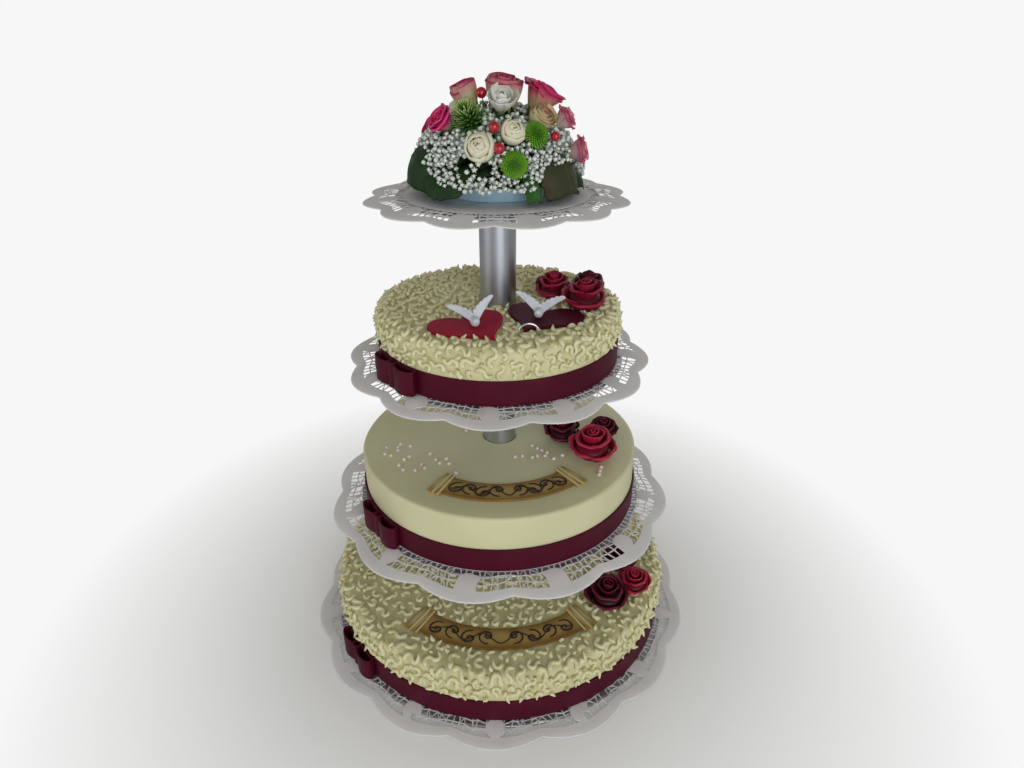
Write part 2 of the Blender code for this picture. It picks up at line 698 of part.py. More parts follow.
def make_cake_rose(name, tier, x, y, radius):
    """A marzipan rose sitting on a cake, turned towards the side that it lies on."""
    rose = bloom(name, "open", radius, radius * ROSE_HEIGHT, 0.0, "crimson", ROSE_STEPS)
    turn = Matrix.Rotation(math.atan2(y, x), 4, "Z")
    rose.data.transform(Matrix.Translation((x, y, cake_top(tier) + GAP)) @ turn)


def make_bowl():
    """The shallow bowl that holds the arrangement."""
    low = TIER_Z[3]
    high = low + BOWL_HEIGHT
    foot = BOWL_RADIUS * BOWL_TAPER
    floor = low + BOWL_WALL
    rim = BOWL_RADIUS
    profile = [(rim, high), (rim, high - BOWL_WALL), (foot, low), (0.0, low), (0.0, floor),
               (foot - BOWL_WALL, floor), (rim - BOWL_WALL, high)]
    turned("bowl", profile, "bowl", BOWL_STEPS)


def make_flower(name, kind, head, radius, height):
    """A flower head, or a pearl on its pin, whose foot reaches down to the greenery's core."""
    centre = Vector(head)
    axis = (centre - CORE_CENTRE).normalized()
    base = centre - axis * height / 2
    drop = (base - CORE_CENTRE).length - CORE_RADIUS - GAP
    flower = bloom(name, kind, radius, height, drop, FLOWER_FINISH[kind], FLOWER_STEPS)
    flower.data.transform(Matrix.Translation(base) @ axis.to_track_quat("Z", "Y").to_matrix().to_4x4())


def flower_spheres():
    """Spheres round each flower head and stem, which the tufts stay clear of."""
    spheres = []
    for _, _, head, radius, height in FLOWERS:
        centre = Vector(head)
        axis = (centre - CORE_CENTRE).normalized()
        spheres.append((centre, max(radius, height / 2) * 1.06))
        base = centre - axis * height / 2
        spheres.append((base, radius * 0.55))
        spheres.append((base - axis * height * 0.25, radius * 0.35))
    return spheres


def make_leaf(azimuth, half_width):
    """A broad drooping leaf from the core out over the bowl, thin and wavy."""
    bm = bmesh.new()
    bmesh.ops.create_grid(bm, x_segments=LEAF_STEPS, y_segments=LEAF_STEPS, size=1.0)
    for vert in bm.verts:
        along = (vert.co.y + 1) / 2
        across = vert.co.x
        width = 0.30 + 0.70 * math.sin(math.pi * (0.10 + 0.72 * along))
        curl = LEAF_LENGTH * 0.11 * across * across * along
        radius = LEAF_ROOT + LEAF_LENGTH * math.sin(along * math.pi / 2) - curl
        x, y = polar(azimuth + half_width * across * width, radius)
        wave = LEAF_WAVE * math.sin(3 * across + azimuth)
        vert.co = Vector((x, y, LEAF_HEIGHT - LEAF_FALL * along ** 2 + wave))
    bmesh.ops.triangulate(bm, faces=bm.faces)
    leaf = mesh_object("leaf", bm, "greenery")
    blade = leaf.modifiers.new("Blade", "SOLIDIFY")
    blade.thickness = LEAF_THICKNESS
    blade.offset = 0.0
    return leaf


def add_tuft(bm, draw, centre, size):
    """A spray from the core out to its crown, with blossoms round the crown."""
    aim = (centre - CORE_CENTRE).normalized()
    aimed = aim.to_track_quat("Z", "Y").to_matrix().to_4x4()
    root = CORE_CENTRE + aim * CORE_RADIUS * 0.85
    crown = centre + aim * size * 0.35
    spray = Matrix.Translation((crown + root) / 2) @ aimed
    bmesh.ops.create_cone(bm, cap_ends=True, segments=TUFT_SIDES, radius1=size * 0.55, radius2=size,
                          depth=(crown - root).length, matrix=spray)
    for blossom in range(BLOSSOMS):
        spin = math.tau * (blossom + draw.random() * 0.5) / BLOSSOMS
        side = aimed.to_3x3() @ Vector((math.cos(spin), math.sin(spin), 0.0))
        spot = Matrix.Translation(crown + side * size * 0.60)
        bmesh.ops.create_uvsphere(bm, u_segments=4, v_segments=2, radius=BLOSSOM_RADIUS, matrix=spot)


def make_tufts():
    """Tufts between the flower heads, each as large as its place allows."""
    draw = random.Random(SEED)
    taken = flower_spheres()
    bm = bmesh.new()
    smallest, largest = TUFT_RADIUS
    for elevation, number in TUFT_ROWS:
        for index in range(number):
            turn = 360 * (index + draw.uniform(-0.2, 0.2)) / number
            flat = polar(turn, math.cos(math.radians(elevation)))
            aim = Vector((*flat, math.sin(math.radians(elevation))))
            centre = CORE_CENTRE + Vector((0, 0, TUFT_RISE)) + aim * (TUFT_REACH - TUFT_RISE * aim.z)
            room = min((centre - other).length - size for other, size in taken) - GAP * 2
            if room >= smallest:
                add_tuft(bm, draw, centre, min(room, largest))
    return mesh_object("tufts", bm, "greenery")


def make_greenery():
    """The heap of greenery in the bowl: a core with broad leaves and tufts of blossoms fused on."""
    bm = bmesh.new()
    bmesh.ops.create_uvsphere(bm, u_segments=CORE_STEPS[0], v_segments=CORE_STEPS[1],
                              radius=CORE_RADIUS, matrix=Matrix.Translation(CORE_CENTRE))
    floor = TIER_Z[3] + BOWL_WALL + GAP
    for vert in bm.verts:
        vert.co.z = max(vert.co.z, floor)
    core = mesh_object("greenery", bm, "greenery")
    merge_flats(core)
    pieces = [make_leaf(azimuth, half_width) for azimuth, half_width in LEAVES]
    fuse(core, pieces + [make_tufts()])


def build():
    """Make every sub-part from the bottom up."""
    make_plates()
    make_columns()
    for tier in range(4):
        make_doily(tier)
    for tier in range(3):
        make_cake(tier)
        make_band(tier)
        make_bow(tier)
    for banner in BANNERS:
        make_banner(*banner)
    for heart in HEARTS:
        make_heart(*heart)
    for dove in DOVES:
        make_dove(*dove)
    make_ring()
    for rose in CAKE_ROSES:
        make_cake_rose(*rose)
    make_bowl()
    make_greenery()
    for flower in FLOWERS:
        make_flower(*flower)


CAKE = clear_scene()
build()
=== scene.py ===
import math
import random

import bmesh
import bpy
from mathutils import Matrix, Vector, noise
from mathutils.bvhtree import BVHTree


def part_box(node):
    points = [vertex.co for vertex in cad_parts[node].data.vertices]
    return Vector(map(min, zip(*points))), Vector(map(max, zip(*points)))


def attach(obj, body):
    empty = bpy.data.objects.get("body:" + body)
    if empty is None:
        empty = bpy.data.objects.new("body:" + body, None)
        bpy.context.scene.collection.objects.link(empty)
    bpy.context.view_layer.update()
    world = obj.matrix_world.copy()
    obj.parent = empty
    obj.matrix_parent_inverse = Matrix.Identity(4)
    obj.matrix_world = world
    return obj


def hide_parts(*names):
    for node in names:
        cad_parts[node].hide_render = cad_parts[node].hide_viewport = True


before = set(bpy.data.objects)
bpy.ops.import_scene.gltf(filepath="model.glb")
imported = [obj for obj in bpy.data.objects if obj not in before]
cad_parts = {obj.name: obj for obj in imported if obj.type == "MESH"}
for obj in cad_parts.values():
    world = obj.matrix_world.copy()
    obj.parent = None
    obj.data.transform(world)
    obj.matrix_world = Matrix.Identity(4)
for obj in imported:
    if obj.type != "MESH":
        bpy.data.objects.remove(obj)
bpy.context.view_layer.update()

# The tiered wedding cake, from its foot up: stand, doilies, cakes, piping, bands and bows, plaques,
# hearts and doves, marzipan roses, and the flowers on the top plate. Metres, +Z up, front at -Y.
stage_collection = bpy.context.scene.collection


# ---- Stand: column tubes --------------------------------------------------------------------
# Three lengths of 30 mm aluminium tube, satin drawn, stand one above the other through the middle
# of the cakes. A threaded rod inside pulls them together against the plates.
TURNED_STEPS = 72
TUBE_RADIUS = 0.015
TUBE_CHAMFER = 0.0006
MERGE = 0.00001
GRAIN_SPAN = (0.3, 0.7)
PATCH_SPAN = (0.32, 0.68)
DRAWN_LINES = (2200, 2200, 14)


def turned(profile, steps=TURNED_STEPS, closed=False):
    """An open or closed profile of (radius, height) spun once round Z, merged on the axis."""
    bm = bmesh.new()
    verts = [bm.verts.new((radius, 0.0, height)) for radius, height in profile]
    following = verts[1:] + verts[:1] if closed else verts[1:]
    edges = [bm.edges.new(pair) for pair in zip(verts, following)]
    bmesh.ops.spin(bm, geom=verts + edges, cent=(0, 0, 0), axis=(0, 0, 1), dvec=(0, 0, 0),
                   angle=math.tau, steps=steps, use_merge=True)
    bmesh.ops.remove_doubles(bm, verts=bm.verts, dist=MERGE)
    bmesh.ops.recalc_face_normals(bm, faces=bm.faces)
    return bm


def to_mesh(name, bm):
    """The mesh data of a bmesh, which is freed."""
    mesh = bpy.data.meshes.new(name)
    bm.to_mesh(mesh)
    bm.free()
    return mesh


def piece(name, bm, material, sharp=40):
    """A smooth-shaded mesh object from a bmesh, at the origin, with one material."""
    mesh = to_mesh(name, bm)
    mesh.materials.append(material)
    mesh.shade_smooth()
    if sharp:
        mesh.set_sharp_from_angle(angle=math.radians(sharp))
    made = bpy.data.objects.new(name, mesh)
    stage_collection.objects.link(made)
    return made


def feed(tree, socket, value):
    """Give a node's input a number, a vector, a colour or another node's result."""
    if isinstance(value, bpy.types.NodeSocket):
        tree.links.new(value, socket)
    else:
        socket.default_value = (*value, 1.0) if socket.type == "RGBA" else value


def new_node(tree, kind, inputs, output=0, **settings):
    """One result of a new node with its settings, its inputs fed by name or by number."""
    node = tree.nodes.new("ShaderNode" + kind)
    for label, value in settings.items():
        setattr(node, label, value)
    for label, value in inputs.items():
        feed(tree, node.inputs[label], value)
    return node.outputs[output]


def noise_node(tree, vector, scale, detail=3.0, stretch=None):
    """A noise texture on a vector, stretched by a Mapping node where that is given."""
    if stretch:
        vector = new_node(tree, "Mapping", {"Vector": vector, "Scale": stretch}, "Vector")
    return new_node(tree, "TexNoise", {"Vector": vector, "Scale": scale, "Detail": detail}, "Fac")


def map_range(tree, value, low, high, to_low=0.0, to_high=1.0):
    """A clamped Map Range; each limit is a number or a socket."""
    return new_node(tree, "MapRange", {"Value": value, "From Min": low, "From Max": high,
                                       "To Min": to_low, "To Max": to_high}, "Result")


def mix_colour(tree, factor, first, second):
    """A colour between two, each a colour or a socket."""
    return new_node(tree, "Mix", {"Factor": factor, 6: first, 7: second}, 2, data_type="RGBA")


def shader_group(name, inputs):
    """A node group with named inputs: the group, those inputs' sockets and Object coordinates."""
    group = bpy.data.node_groups.new(name, "ShaderNodeTree")
    for label, value in inputs.items():
        kind = "Color" if isinstance(value, tuple) else "Float"
        socket = group.interface.new_socket(label, in_out="INPUT", socket_type="NodeSocket" + kind)
        socket.default_value = (*value, 1.0) if kind == "Color" else value
    for label, kind in (("Colour", "Color"), ("Roughness", "Float"), ("Height", "Float")):
        group.interface.new_socket(label, in_out="OUTPUT", socket_type="NodeSocket" + kind)
    place = group.nodes.new("ShaderNodeTexCoord").outputs["Object"]
    return group, group.nodes.new("NodeGroupInput").outputs, place


def finish_group(group, given, colour, grain, height):
    """Lead a group's colour, the roughness its grain gives, and its height to its output."""
    rough = map_range(group, grain, *GRAIN_SPAN, given["Smooth"], given["Rough"])
    end = group.nodes.new("NodeGroupOutput")
    for label, result in (("Colour", colour), ("Roughness", rough), ("Height", height)):
        group.links.new(result, end.inputs[label])
    return group


def make_mottle_group():
    """Soft patches of two tones with a fine grain: what food, paper and petals all have."""
    group, given, place = shader_group("mottle", {
        "Light": (0.8, 0.8, 0.8), "Dark": (0.5, 0.5, 0.5), "Patch Scale": 60.0,
        "Grain Scale": 900.0, "Smooth": 0.4, "Rough": 0.6, "Patch Height": 0.3})
    patches = noise_node(group, place, given["Patch Scale"], 4.0)
    grain = noise_node(group, place, given["Grain Scale"], 2.0)
    tone = map_range(group, patches, *PATCH_SPAN)
    colour = mix_colour(group, tone, given["Dark"], given["Light"])
    height = new_node(group, "Mix", {"Factor": given["Patch Height"], 2: grain, 3: patches})
    return finish_group(group, given, colour, grain, height)


def make_drawn_metal_group():
    """Fine lines along a drawn tube or round a turned plate, with faint cloudy marks."""
    group, given, place = shader_group("drawn_metal", {
        "Light": (0.7, 0.7, 0.7), "Dark": (0.5, 0.5, 0.5), "Smooth": 0.25, "Rough": 0.45})
    lines = noise_node(group, place, 1.0, 3.0, DRAWN_LINES)
    clouds = noise_node(group, place, 24.0, 3.0)
    colour = mix_colour(group, clouds, given["Dark"], given["Light"])
    return finish_group(group, given, colour, lines, lines)


def finish_with(name, group, values, bump, own):
    """A material whose Principled shader takes colour, roughness and relief from a group."""
    material = bpy.data.materials.new(name)
    material.use_nodes = True
    tree = material.node_tree
    effect = tree.nodes.new("ShaderNodeGroup")
    effect.node_tree = group
    for label, value in values.items():
        feed(tree, effect.inputs[label], value)
    relief = new_node(tree, "Bump", {"Strength": bump[0], "Distance": bump[1],
                                     "Height": effect.outputs["Height"]}, "Normal")
    taken = {"Base Color": effect.outputs["Colour"], "Roughness": effect.outputs["Roughness"],
             "Normal": relief, **own}
    for label, value in taken.items():
        feed(tree, tree.nodes["Principled BSDF"].inputs[label], value)
    return material


MOTTLE = make_mottle_group()


def mottled(name, light, dark, scales, roughness, patch_height, bump, own=None):
    """A material of soft patches, with the scales of patch and grain and its roughness."""
    values = {"Light": light, "Dark": dark, "Patch Scale": scales[0], "Grain Scale": scales[1],
              "Smooth": roughness[0], "Rough": roughness[1], "Patch Height": patch_height}
    return finish_with(name, MOTTLE, values, bump, own or {})


ALUMINIUM = finish_with(
    "satin_aluminium", make_drawn_metal_group(),
    {"Light": (0.54, 0.57, 0.62), "Dark": (0.41, 0.43, 0.48), "Smooth": 0.28, "Rough": 0.42},
    (0.12, 0.0003), {"Metallic": 1.0})

for index in (1, 2, 3):
    lowest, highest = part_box(f"column_{index}")
    rim = TUBE_RADIUS - TUBE_CHAMFER
    tube = piece(f"column_tube_{index}", turned([
        (0, highest.z), (rim, highest.z), (TUBE_RADIUS, highest.z - TUBE_CHAMFER),
        (TUBE_RADIUS, lowest.z + TUBE_CHAMFER), (rim, lowest.z), (0, lowest.z)]), ALUMINIUM, 30)
    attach(tube, "root")
    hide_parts(f"column_{index}")


# ---- Stand: plates --------------------------------------------------------------------------
# Four spun aluminium discs of 16 to 33 cm with a rolled edge. The column tubes clamp each of them
# in the middle, and they carry the doilies and cakes.
PLATE_RADIUS = (0.165, 0.131, 0.107, 0.080)
EDGE_ARC_STEPS = 6


def arc(centre, radius, start, end, steps=EDGE_ARC_STEPS):
    """Points of (radius, height) on an arc between two angles in degrees."""
    angles = [math.radians(start + (end - start) * i / steps) for i in range(steps + 1)]
    return [(centre[0] + radius * math.cos(a), centre[1] + radius * math.sin(a)) for a in angles]


for index, radius in enumerate(PLATE_RADIUS, 1):
    lowest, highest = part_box(f"plate_{index}")
    roll = (highest.z - lowest.z) / 2
    rolled = arc((radius - roll, lowest.z + roll), roll, 90, -90)
    disc = piece(f"plate_disc_{index}", turned([(0, highest.z), *rolled, (0, lowest.z)]), ALUMINIUM)
    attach(disc, "root")
    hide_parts(f"plate_{index}")


# ---- Doilies --------------------------------------------------------------------------------
# Embossed paper lace under each cake and under the flowers: a scalloped plain border, and inside
# it a net of small cut-outs round one solid oval in every scallop. The free edge droops a little.
DOILY_RADIUS = (0.1860, 0.158, 0.130, 0.104)
SCALLOPS = (14, 12, 12, 12)
VALLEY_AZIMUTH = (12.0, 5.0, 12.0, 0.0)
EDGE_DROOP = (0.0022, 0.0045, 0.0040, 0.0030)
SCALLOP_DEPTH = 0.008
CELL = 0.0064
BORDER = 0.0090
BORDER_LINES = (0.0, 0.0014, 0.0030, 0.0060)
NET_ROWS = 3
BRIDGE = 0.00076
SPLIT_SHARE = 0.22
OVAL = (0.0078, 0.0086)
OVAL_DEPTH = 0.0192
SNAP_BAND = (0.40, 1.40)
SMALLEST_HOLE = 5e-6
NET_SHIFT = (0.34, 0.26)
OVAL_EDGE = 0.90
ON_OVAL = (0.95, 1.05)
DOILY_BORE = (0.016, 0.016, 0.016, 0.004)
RIM_CUTS = 5
SAME_PLACE = 0.0001
SHEET = 0.0005
PINKING = 0.00018
EMBOSS = 0.00025

PAPER = mottled(
    "lace_paper", (0.88, 0.86, 0.88), (0.80, 0.78, 0.80), scales=(35.0, 1400.0),
    roughness=(0.72, 0.92), patch_height=0.25, bump=(0.25, 0.0004),
    own={"Specular IOR Level": 0.3})


def polar(azimuth, radius, height):
    """A point at an azimuth in degrees from the front, positive towards +X."""
    turn = math.radians(azimuth)
    return Vector((radius * math.sin(turn), -radius * math.cos(turn), height))


def azimuth_of(point):
    """The azimuth of a point in degrees from the front, positive towards +X."""
    return math.degrees(math.atan2(point.x, -point.y))


def verts_in(geometry):
    """The vertices among the results of a bmesh operator."""
    return [item for item in geometry if isinstance(item, bmesh.types.BMVert)]


def modify(made, kind, **settings):
    """Give an object a modifier with its settings."""
    modifier = made.modifiers.new(kind.title(), kind)
    for label, value in settings.items():
        setattr(modifier, label, value)


def scallop_edge(tier, azimuth):
    """Radius of a doily's outer edge, and how far the place is up its scallop, from 0 to 1."""
    phase = math.radians((azimuth - VALLEY_AZIMUTH[tier]) * SCALLOPS[tier] / 2)
    lift = abs(math.sin(phase))
    return DOILY_RADIUS[tier] - SCALLOP_DEPTH * (1 - lift), lift


def doily_height(tier, azimuth, radius):
    """Height of a doily over its flat part: it droops from the plate's edge to its own."""
    edge, lift = scallop_edge(tier, azimuth)
    flat = PLATE_RADIUS[tier] + 0.001
    share = max(0.0, (radius - flat) / (edge - flat))
    return -EDGE_DROOP[tier] * (0.8 + 0.2 * lift) * share ** 1.2


def oval_place(tier, point):
    """The middle of the solid oval in a point's scallop, and how far out of it the point is."""
    step = 360 / SCALLOPS[tier]
    azimuth = azimuth_of(point) - VALLEY_AZIMUTH[tier]
    lobe = VALLEY_AZIMUTH[tier] + step * (math.floor(azimuth / step) + 0.5)
    middle = polar(lobe, DOILY_RADIUS[tier] - OVAL_DEPTH, 0).xy
    away, outward = point.xy - middle, middle.normalized()
    aside = away.x * outward.y - away.y * outward.x
    return middle, math.hypot(aside / OVAL[0], away.dot(outward) / OVAL[1])


def to_oval(tier, vert):
    """Move a vertex onto the rim of its scallop's oval."""
    middle, share = oval_place(tier, vert.co)
    vert.co.xy = middle + (vert.co.xy - middle) / share


def lace(tier):
    """A doily as a grid of cells, wrapped round the axis, its net cells cut out."""
    draw = random.Random(40 + tier)
    lobe_cells = round(math.tau * DOILY_RADIUS[tier] / SCALLOPS[tier] / CELL)
    columns = lobe_cells * SCALLOPS[tier]
    lines = list(BORDER_LINES) + [BORDER + CELL * row for row in range(NET_ROWS + 1)]
    shift = {(column, row): [draw.uniform(-most, most) for most in NET_SHIFT]
             for column in range(columns) for row in range(len(BORDER_LINES) + 1, len(lines) - 1)}
    bm = bmesh.new()
    bmesh.ops.create_grid(bm, x_segments=columns, y_segments=len(lines) - 1, size=0.5)
    middle_radius = DOILY_RADIUS[tier] - SCALLOP_DEPTH / 2
    inside = lines[-1]
    depths = {}
    for vert in bm.verts:
        column = round((vert.co.x + 0.5) * columns)
        row = round((vert.co.y + 0.5) * (len(lines) - 1))
        aside, down = shift.get((column % columns, row), (0, 0))
        azimuth = VALLEY_AZIMUTH[tier] + 360 * (column + aside) / columns
        depth = lines[row] + down * CELL
        edge, _ = scallop_edge(tier, azimuth)
        radius = middle_radius - depth + (edge - middle_radius) * max(0.0, 1 - depth / inside)
        raised = EMBOSS if row == 2 else 0.0
        vert.co = polar(azimuth, radius, doily_height(tier, azimuth, radius) + raised)
        depths[vert] = depth
    bmesh.ops.remove_doubles(bm, verts=bm.verts, dist=SAME_PLACE)
    for vert in bm.verts:
        in_net = BORDER < depths[vert] < inside
        if in_net and SNAP_BAND[0] < oval_place(tier, vert.co)[1] < SNAP_BAND[1]:
            to_oval(tier, vert)
    net = [face for face in bm.faces
           if oval_place(tier, face.calc_center_median())[1] > OVAL_EDGE
           and sum(depths[vert] for vert in face.verts) / 4 > BORDER]
    cut = set(net)
    rim = [edge for edge in bm.edges if len(cut.intersection(edge.link_faces)) == 1
           and len(edge.link_faces) == 2
           and all(ON_OVAL[0] < oval_place(tier, v.co)[1] < ON_OVAL[1] for v in edge.verts)]
    for vert in verts_in(bmesh.ops.subdivide_edges(bm, edges=rim, cuts=2)["geom_inner"]):
        to_oval(tier, vert)
    split = [face for face in net if len(face.verts) == 4 and draw.random() < SPLIT_SHARE]
    kept = [face for face in net if face not in set(split)]
    halves = bmesh.ops.triangulate(bm, faces=split)["faces"]
    holes = [face for face in kept + halves if face.calc_area() > SMALLEST_HOLE]
    bmesh.ops.inset_individual(bm, faces=holes, thickness=BRIDGE, use_even_offset=False)
    bmesh.ops.delete(bm, geom=holes, context="FACES")
    return bm


def finish_rims(bm, tier):
    """Pink the outer edge, and close the sheet inwards from the net to its bore or middle."""
    rims = [edge for edge in bm.edges if edge.is_boundary]
    outer_rim = [edge for edge in rims
                 if all(abs(v.co.xy.length - scallop_edge(tier, azimuth_of(v.co))[0]) < 0.0003
                        for v in edge.verts)]
    innermost = min(vert.co.xy.length for edge in rims for vert in edge.verts)
    inner_rim = [edge for edge in rims
                 if max(vert.co.xy.length for vert in edge.verts) < innermost + SAME_PLACE]
    fresh = bmesh.ops.subdivide_edges(bm, edges=outer_rim, cuts=RIM_CUTS)["geom_inner"]
    for order, vert in enumerate(verts_in(fresh)):
        azimuth = azimuth_of(vert.co)
        radius = scallop_edge(tier, azimuth)[0] - PINKING * (1 + (-1) ** order)
        vert.co = polar(azimuth, radius, doily_height(tier, azimuth, radius))
    for vert in verts_in(bmesh.ops.extrude_edge_only(bm, edges=inner_rim)["geom"]):
        vert.co = Vector((*vert.co.xy.normalized() * DOILY_BORE[tier], 0.0))


for tier in range(4):
    lowest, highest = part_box(f"doily_{tier + 1}")
    bm = lace(tier)
    finish_rims(bm, tier)
    bm.normal_update()
    bmesh.ops.reverse_faces(bm, faces=[face for face in bm.faces if face.normal.z < 0])
    bmesh.ops.translate(bm, verts=bm.verts, vec=(0, 0, highest.z))
    sheet = piece(f"lace_doily_{tier + 1}", bm, PAPER, 30)
    modify(sheet, "SOLIDIFY", thickness=SHEET, offset=-1.0)
    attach(sheet, "root")
    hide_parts(f"doily_{tier + 1}")


# ---- Cakes ----------------------------------------------------------------------------------
# Three round cakes, 5 cm high, under cream: the bottom and top one under a thin coat that is piped
# over, the middle one spread smooth. Each was cut out in the middle to let the column through.
CAKE_NODES = ("cake_bottom", "cake_middle", "cake_top")
CAKE_HEIGHT = (0.0508, 0.0508, 0.0448)
BAND_RADIUS = (0.1600, 0.1265, 0.1025)
BAND_INSET = 0.0018
EDGE_ROUND = (0.006, 0.003, 0.006)
CAKE_BORE = 0.0155
CAKE_STEPS = 128
CAKE_LOW = [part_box(node)[0].z for node in CAKE_NODES]
TOP_RINGS = 14
WALL_RINGS = 6
UNEVEN = 0.0005
UNEVEN_SCALE = 22.0
UNEVEN_FADE = 0.01

# The coat is painted darker and yellower than the piped cream over it: partly its own tone, partly
# painted shade between the raised strands.
PIPED_COAT = mottled(
    "cream_coat", (0.77, 0.72, 0.44), (0.67, 0.61, 0.34), scales=(90.0, 700.0),
    roughness=(0.42, 0.60), patch_height=0.5, bump=(0.35, 0.0012), own={"Specular IOR Level": 0.3})
SPREAD_ICING = mottled(
    "spread_icing", (0.74, 0.72, 0.45), (0.68, 0.66, 0.40), scales=(17.0, 260.0),
    roughness=(0.30, 0.46), patch_height=0.85, bump=(0.45, 0.0020),
    own={"Specular IOR Level": 0.4})


def cake_radius(tier):
    """Radius of a cake's side."""
    return BAND_RADIUS[tier] - BAND_INSET


def cake_high(tier):
    """Height of a cake's flat top."""
    return CAKE_LOW[tier] + CAKE_HEIGHT[tier]


for tier, node in enumerate(CAKE_NODES):
    side, low, high = cake_radius(tier), CAKE_LOW[tier], cake_high(tier)
    band_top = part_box(f"band_{tier + 1}")[1].z
    turn = EDGE_ROUND[tier]
    flat = side - turn - CAKE_BORE
    rings = [(CAKE_BORE + flat * i / TOP_RINGS, high) for i in range(TOP_RINGS)]
    shoulder = arc((side - turn, high - turn), turn, 90, 0)
    wall = [(side, high - turn + (low - high + turn) * i / WALL_RINGS)
            for i in range(1, WALL_RINGS + 1)]
    bm = turned(rings + shoulder + wall + [(CAKE_BORE, low)], CAKE_STEPS, closed=True)
    for vert in bm.verts:
        free = min(1.0, max(0.0, (vert.co.z - band_top) / turn))
        free *= min(1.0, max(0.0, (vert.co.xy.length - CAKE_BORE) / UNEVEN_FADE))
        swell = noise.noise(vert.co * UNEVEN_SCALE) * UNEVEN * free
        vert.co += Vector((*(vert.co.xy.normalized() * swell), swell))
    cake = piece(f"cake_body_{node[5:]}", bm, SPREAD_ICING if tier == 1 else PIPED_COAT)
    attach(cake, "root")
    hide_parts(node)


# ---- Piping ---------------------------------------------------------------------------------
# The bottom and top cake are covered with S, C and loop strokes of cream from a round 4 mm
# nozzle. Each stroke starts with a small blob and ends in a pulled-up tip.
STRAND_RADIUS = 0.00158
STROKE_SCALE = (1.26, None, 1.14)
STRAND_SIDES = 5
ARC_STEP = 44
STROKES = (
    ((0.0028, 205), (0.0026, -205)),
    ((0.0026, -215), (0.0026, 195)),
    ((0.0032, 165), (0.0024, -190)),
    ((0.0024, -120), (0.0028, 250)),
    ((0.0023, 110), (0.0028, -215), (0.0023, 100)),
    ((0.0029, 235),),
)
SHORT_STROKES = (((0.0022, 215),), ((0.0020, -235),), ((0.0018, 130), (0.0018, -130)))
BLOBS = (((0.0016, 110),), ((0.0020, 72),))
TOP_STROKES = ((0.0023, 250), (0.0024, -255), (0.0022, 170)), ((0.0025, -230), (0.0023, 240))
STROKE_GAP = (0.0036, None, 0.0032)
STROKE_TRIES = (90000, 0, 70000)
KIND_SHARES = (0.5, 0.8)
STROKE_LIFT = 0.62
TIP_LIFT = (0.6, 2.0)
BLOB_GIRTH = (0.75, 1.3)
TIP_GIRTH = (0.95, 0.22)
TOP_SHARE = 0.55
PLAIN_ABOVE_BAND = 0.0024
TOPPING_GAP = 0.0016
SPOT_LIFT = 0.6
TOPPINGS = (
    ("banner_bottom", "rose_bottom_1", "rose_bottom_2", "rose_bottom_3", "column_1"), (),
    ("heart_left", "heart_right", "ring", "rose_top_1", "rose_top_2", "rose_top_3", "column_3"),
)

# The piped cream is painted lighter than the coat under it: partly its own paler tone, partly
# painted light where the raised strands face the front light.
PIPED_CREAM = mottled(
    "piped_cream", (0.85, 0.82, 0.53), (0.75, 0.71, 0.42), scales=(150.0, 1500.0),
    roughness=(0.36, 0.52), patch_height=0.4, bump=(0.2, 0.0005), own={"Specular IOR Level": 0.4})


def strand(path, radii, sides):
    """A disc pushed along a path and scaled to a radius at each point, closed at both ends."""
    bm = bmesh.new()
    frames = []
    for index, point in enumerate(path):
        ahead = path[min(index + 1, len(path) - 1)] - path[max(index - 1, 0)]
        aim = ahead.to_track_quat("Z", "Y").to_matrix().to_4x4()
        frames.append(Matrix.Translation(point) @ aim @ Matrix.Scale(radii[index], 4))
    bmesh.ops.create_circle(bm, cap_ends=True, segments=sides, radius=1.0, matrix=frames[0])
    faces = list(bm.faces)
    for before, after in zip(frames, frames[1:]):
        faces = bmesh.ops.extrude_discrete_faces(bm, faces=faces)["faces"]
        bmesh.ops.transform(bm, matrix=after @ before.inverted(), verts=faces[0].verts)
    bmesh.ops.holes_fill(bm, edges=bm.edges)
    bmesh.ops.recalc_face_normals(bm, faces=bm.faces)
    return bm


def curl(turns, step=ARC_STEP):
    """Flat points along arcs of (radius, turn in degrees), centred on their own middle."""
    path = [Vector((0, 0, 0))]
    heading = 0.0
    for radius, degrees in turns:
        count = max(1, round(abs(degrees) / step))
        turn = math.radians(degrees) / count
        for _ in range(count):
            chord = Vector((math.cos(heading + turn / 2), math.sin(heading + turn / 2), 0))
            path.append(path[-1] + chord * 2 * radius * math.sin(abs(turn) / 2))
            heading += turn
    middle = Vector(((min(p.x for p in path) + max(p.x for p in path)) / 2,
                     (min(p.y for p in path) + max(p.y for p in path)) / 2, 0))
    return [point - middle for point in path]


def stroke_mesh(path):
    """One stroke of cream lying on a flat surface, its blob first and its tip last."""
    lifted = [point + Vector((0, 0, STRAND_RADIUS * STROKE_LIFT)) for point in path]
    for point, lift in zip(lifted[-2:], TIP_LIFT):
        point.z += STRAND_RADIUS * lift
    girths = [1.0] * len(path)
    girths[:2] = BLOB_GIRTH
    girths[-2:] = TIP_GIRTH
    return to_mesh("stroke", strand(lifted, [STRAND_RADIUS * g for g in girths], STRAND_SIDES))


def on_cake(tier, azimuth, run, height):
    """A point over a cake, at a run from the axis out along its top, round its edge and down."""
    side, high, bend = cake_radius(tier), cake_high(tier), EDGE_ROUND[tier]
    flat = side - bend
    shoulder = bend * math.pi / 2
    if run <= flat:
        return polar(azimuth, run, high + height)
    if run <= flat + shoulder:
        turn = (run - flat) / bend
        reach = bend + height
        return polar(azimuth, flat + reach * math.sin(turn), high - bend + reach * math.cos(turn))
    return polar(azimuth, side + height, high - bend - (run - flat - shoulder))


